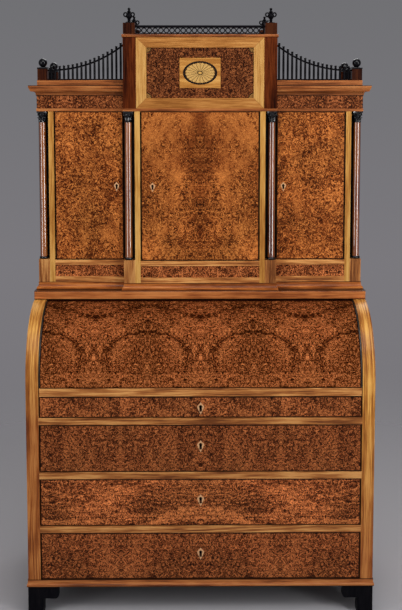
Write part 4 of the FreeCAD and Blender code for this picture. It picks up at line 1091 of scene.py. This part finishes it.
def keyhole_outline(spare):
    """The keyhole's outline, an eye over a slot, with some spare all round."""
    eye, half = key_eye + spare, key_slot_half + spare
    eye_open = math.asin(half / eye)
    outline = [(eye * math.sin(t), key_eye_rise - eye * math.cos(t)) for t in
               [eye_open + (math.tau - 2 * eye_open) * step / 14 for step in range(15)]]
    slot_foot = key_eye_rise - key_slot_drop - spare
    return outline + [(-half, slot_foot), (half, slot_foot)]


def flat_sheet(share, *outlines):
    """A thin sheet with the first outline as its border and the second as its hole, at the origin."""
    flat = bpy.data.curves.new("plate", "CURVE")
    flat.dimensions = "2D"
    flat.fill_mode = "BOTH"
    flat.extrude = 0.0009
    flat.bevel_depth = 0.0003
    for points in outlines:
        line = flat.splines.new("POLY")
        line.points.add(len(points) - 1)
        line.use_cyclic_u = True
        for point, (x, z) in zip(line.points, points):
            point.co = (x * share, z * share, 0, 1)
    holder = add_object("plate", flat)
    made = bpy.data.meshes.new_from_object(holder.evaluated_get(bpy.context.evaluated_depsgraph_get()))
    bpy.data.objects.remove(holder)
    return made


# Painted shade: a black ring round each keyhole, partly key wear, widens the dark of the hole.
shade_ring = 0.0016
shade_ring_joint = 0.00005


def plate_and_shade_ring(share):
    return (flat_sheet(share, plate_border, keyhole_outline(shade_ring)),
            flat_sheet(share, keyhole_outline(shade_ring - shade_ring_joint), keyhole_outline(0.0)))


drawer_sheets = plate_and_shade_ring(1.0)
door_sheets = plate_and_shade_ring(0.8)
sheet_depth = 0.0008
screw_inset = 0.006
bolt_half = 0.009
screw = bmesh.new()
turned(screw, [(0, 0), (0.0028, 0), (0.0024, 0.0007), (0, 0.0009)], Vector(), 14)


def fit_lock(name, body, node, sheets, key, face_y, case_low, case_high, bolt):
    lock = bmesh.new()
    x0, y0, z0 = case_low
    x1, y1, z1 = case_high
    slab(lock, [(x0, y0), (x1, y0), (x1, y1), (x0, y1)], z0, z1, 0.0008)
    if bolt:
        middle = (y0 + y1) / 2
        bolt_plan = [(-bolt_half, y0), (bolt_half, y0), (bolt_half, middle), (-bolt_half, middle)]
        slab(lock, bolt_plan, z1, bolt, 0.0005)
    for x in (x0 + screw_inset, x1 - screw_inset):
        grown(row_tree, screw, lock, count=2, start=(x, y1, z0 + screw_inset),
              step=(0, 0, z1 - z0 - 2 * screw_inset), first_turn=(-math.pi / 2, 0, 0), finish=aged_brass)
    counts = [len(lock.faces)]
    for sheet in sheets:
        plate = sheet.copy()
        place = Matrix.Translation((key[0], face_y + sheet_depth, key[1]))
        plate.transform(place @ Matrix.Rotation(math.pi / 2, 4, "X"))
        lock.from_mesh(plate)
        bpy.data.meshes.remove(plate)
        counts.append(len(lock.faces))
    bmesh.ops.remove_doubles(lock, verts=lock.verts, dist=1e-6)
    for index, facet in enumerate(lock.faces):
        # Painted shade: the lock's face behind the keyhole is black, for the shade inside the hole.
        behind_keyhole = index < counts[0] and facet.calc_center_median().y < y0 + 0.0001
        facet.material_index = 2 if behind_keyhole else sum(index >= count for count in counts[:2])
    make_piece(name, lock, [aged_brass, bone, keyhole_shade], node, body=body, slot="lock_brass")


lock_depth = 0.010
lock_below_key = 0.016
lock_above_key = 0.026
key_below_bolt = 0.032
for level in drawer_figures:
    node = "drawer_" + level + "_lock"
    low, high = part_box(node)
    key_z = high.z - key_below_bolt
    fit_lock(level + "_drawer_lock", level + "_drawer", node, drawer_sheets, (0.0, key_z), low.y,
             (low.x, high.y - lock_depth, key_z - lock_below_key), (high.x, high.y, key_z + lock_above_key),
             high.z)
key_margin = 0.019
for side in ("left", "centre", "right"):
    node = "door_" + side + "_lock"
    low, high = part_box(node)
    key_x = low.x + key_margin if side == "left" else high.x - key_margin
    fit_lock(side + "_door_lock", side + "_door", node, door_sheets, (key_x, (low.z + high.z) / 2), low.y,
             (low.x, high.y - lock_depth, low.z), (high.x, high.y, high.z), None)

low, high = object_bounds()
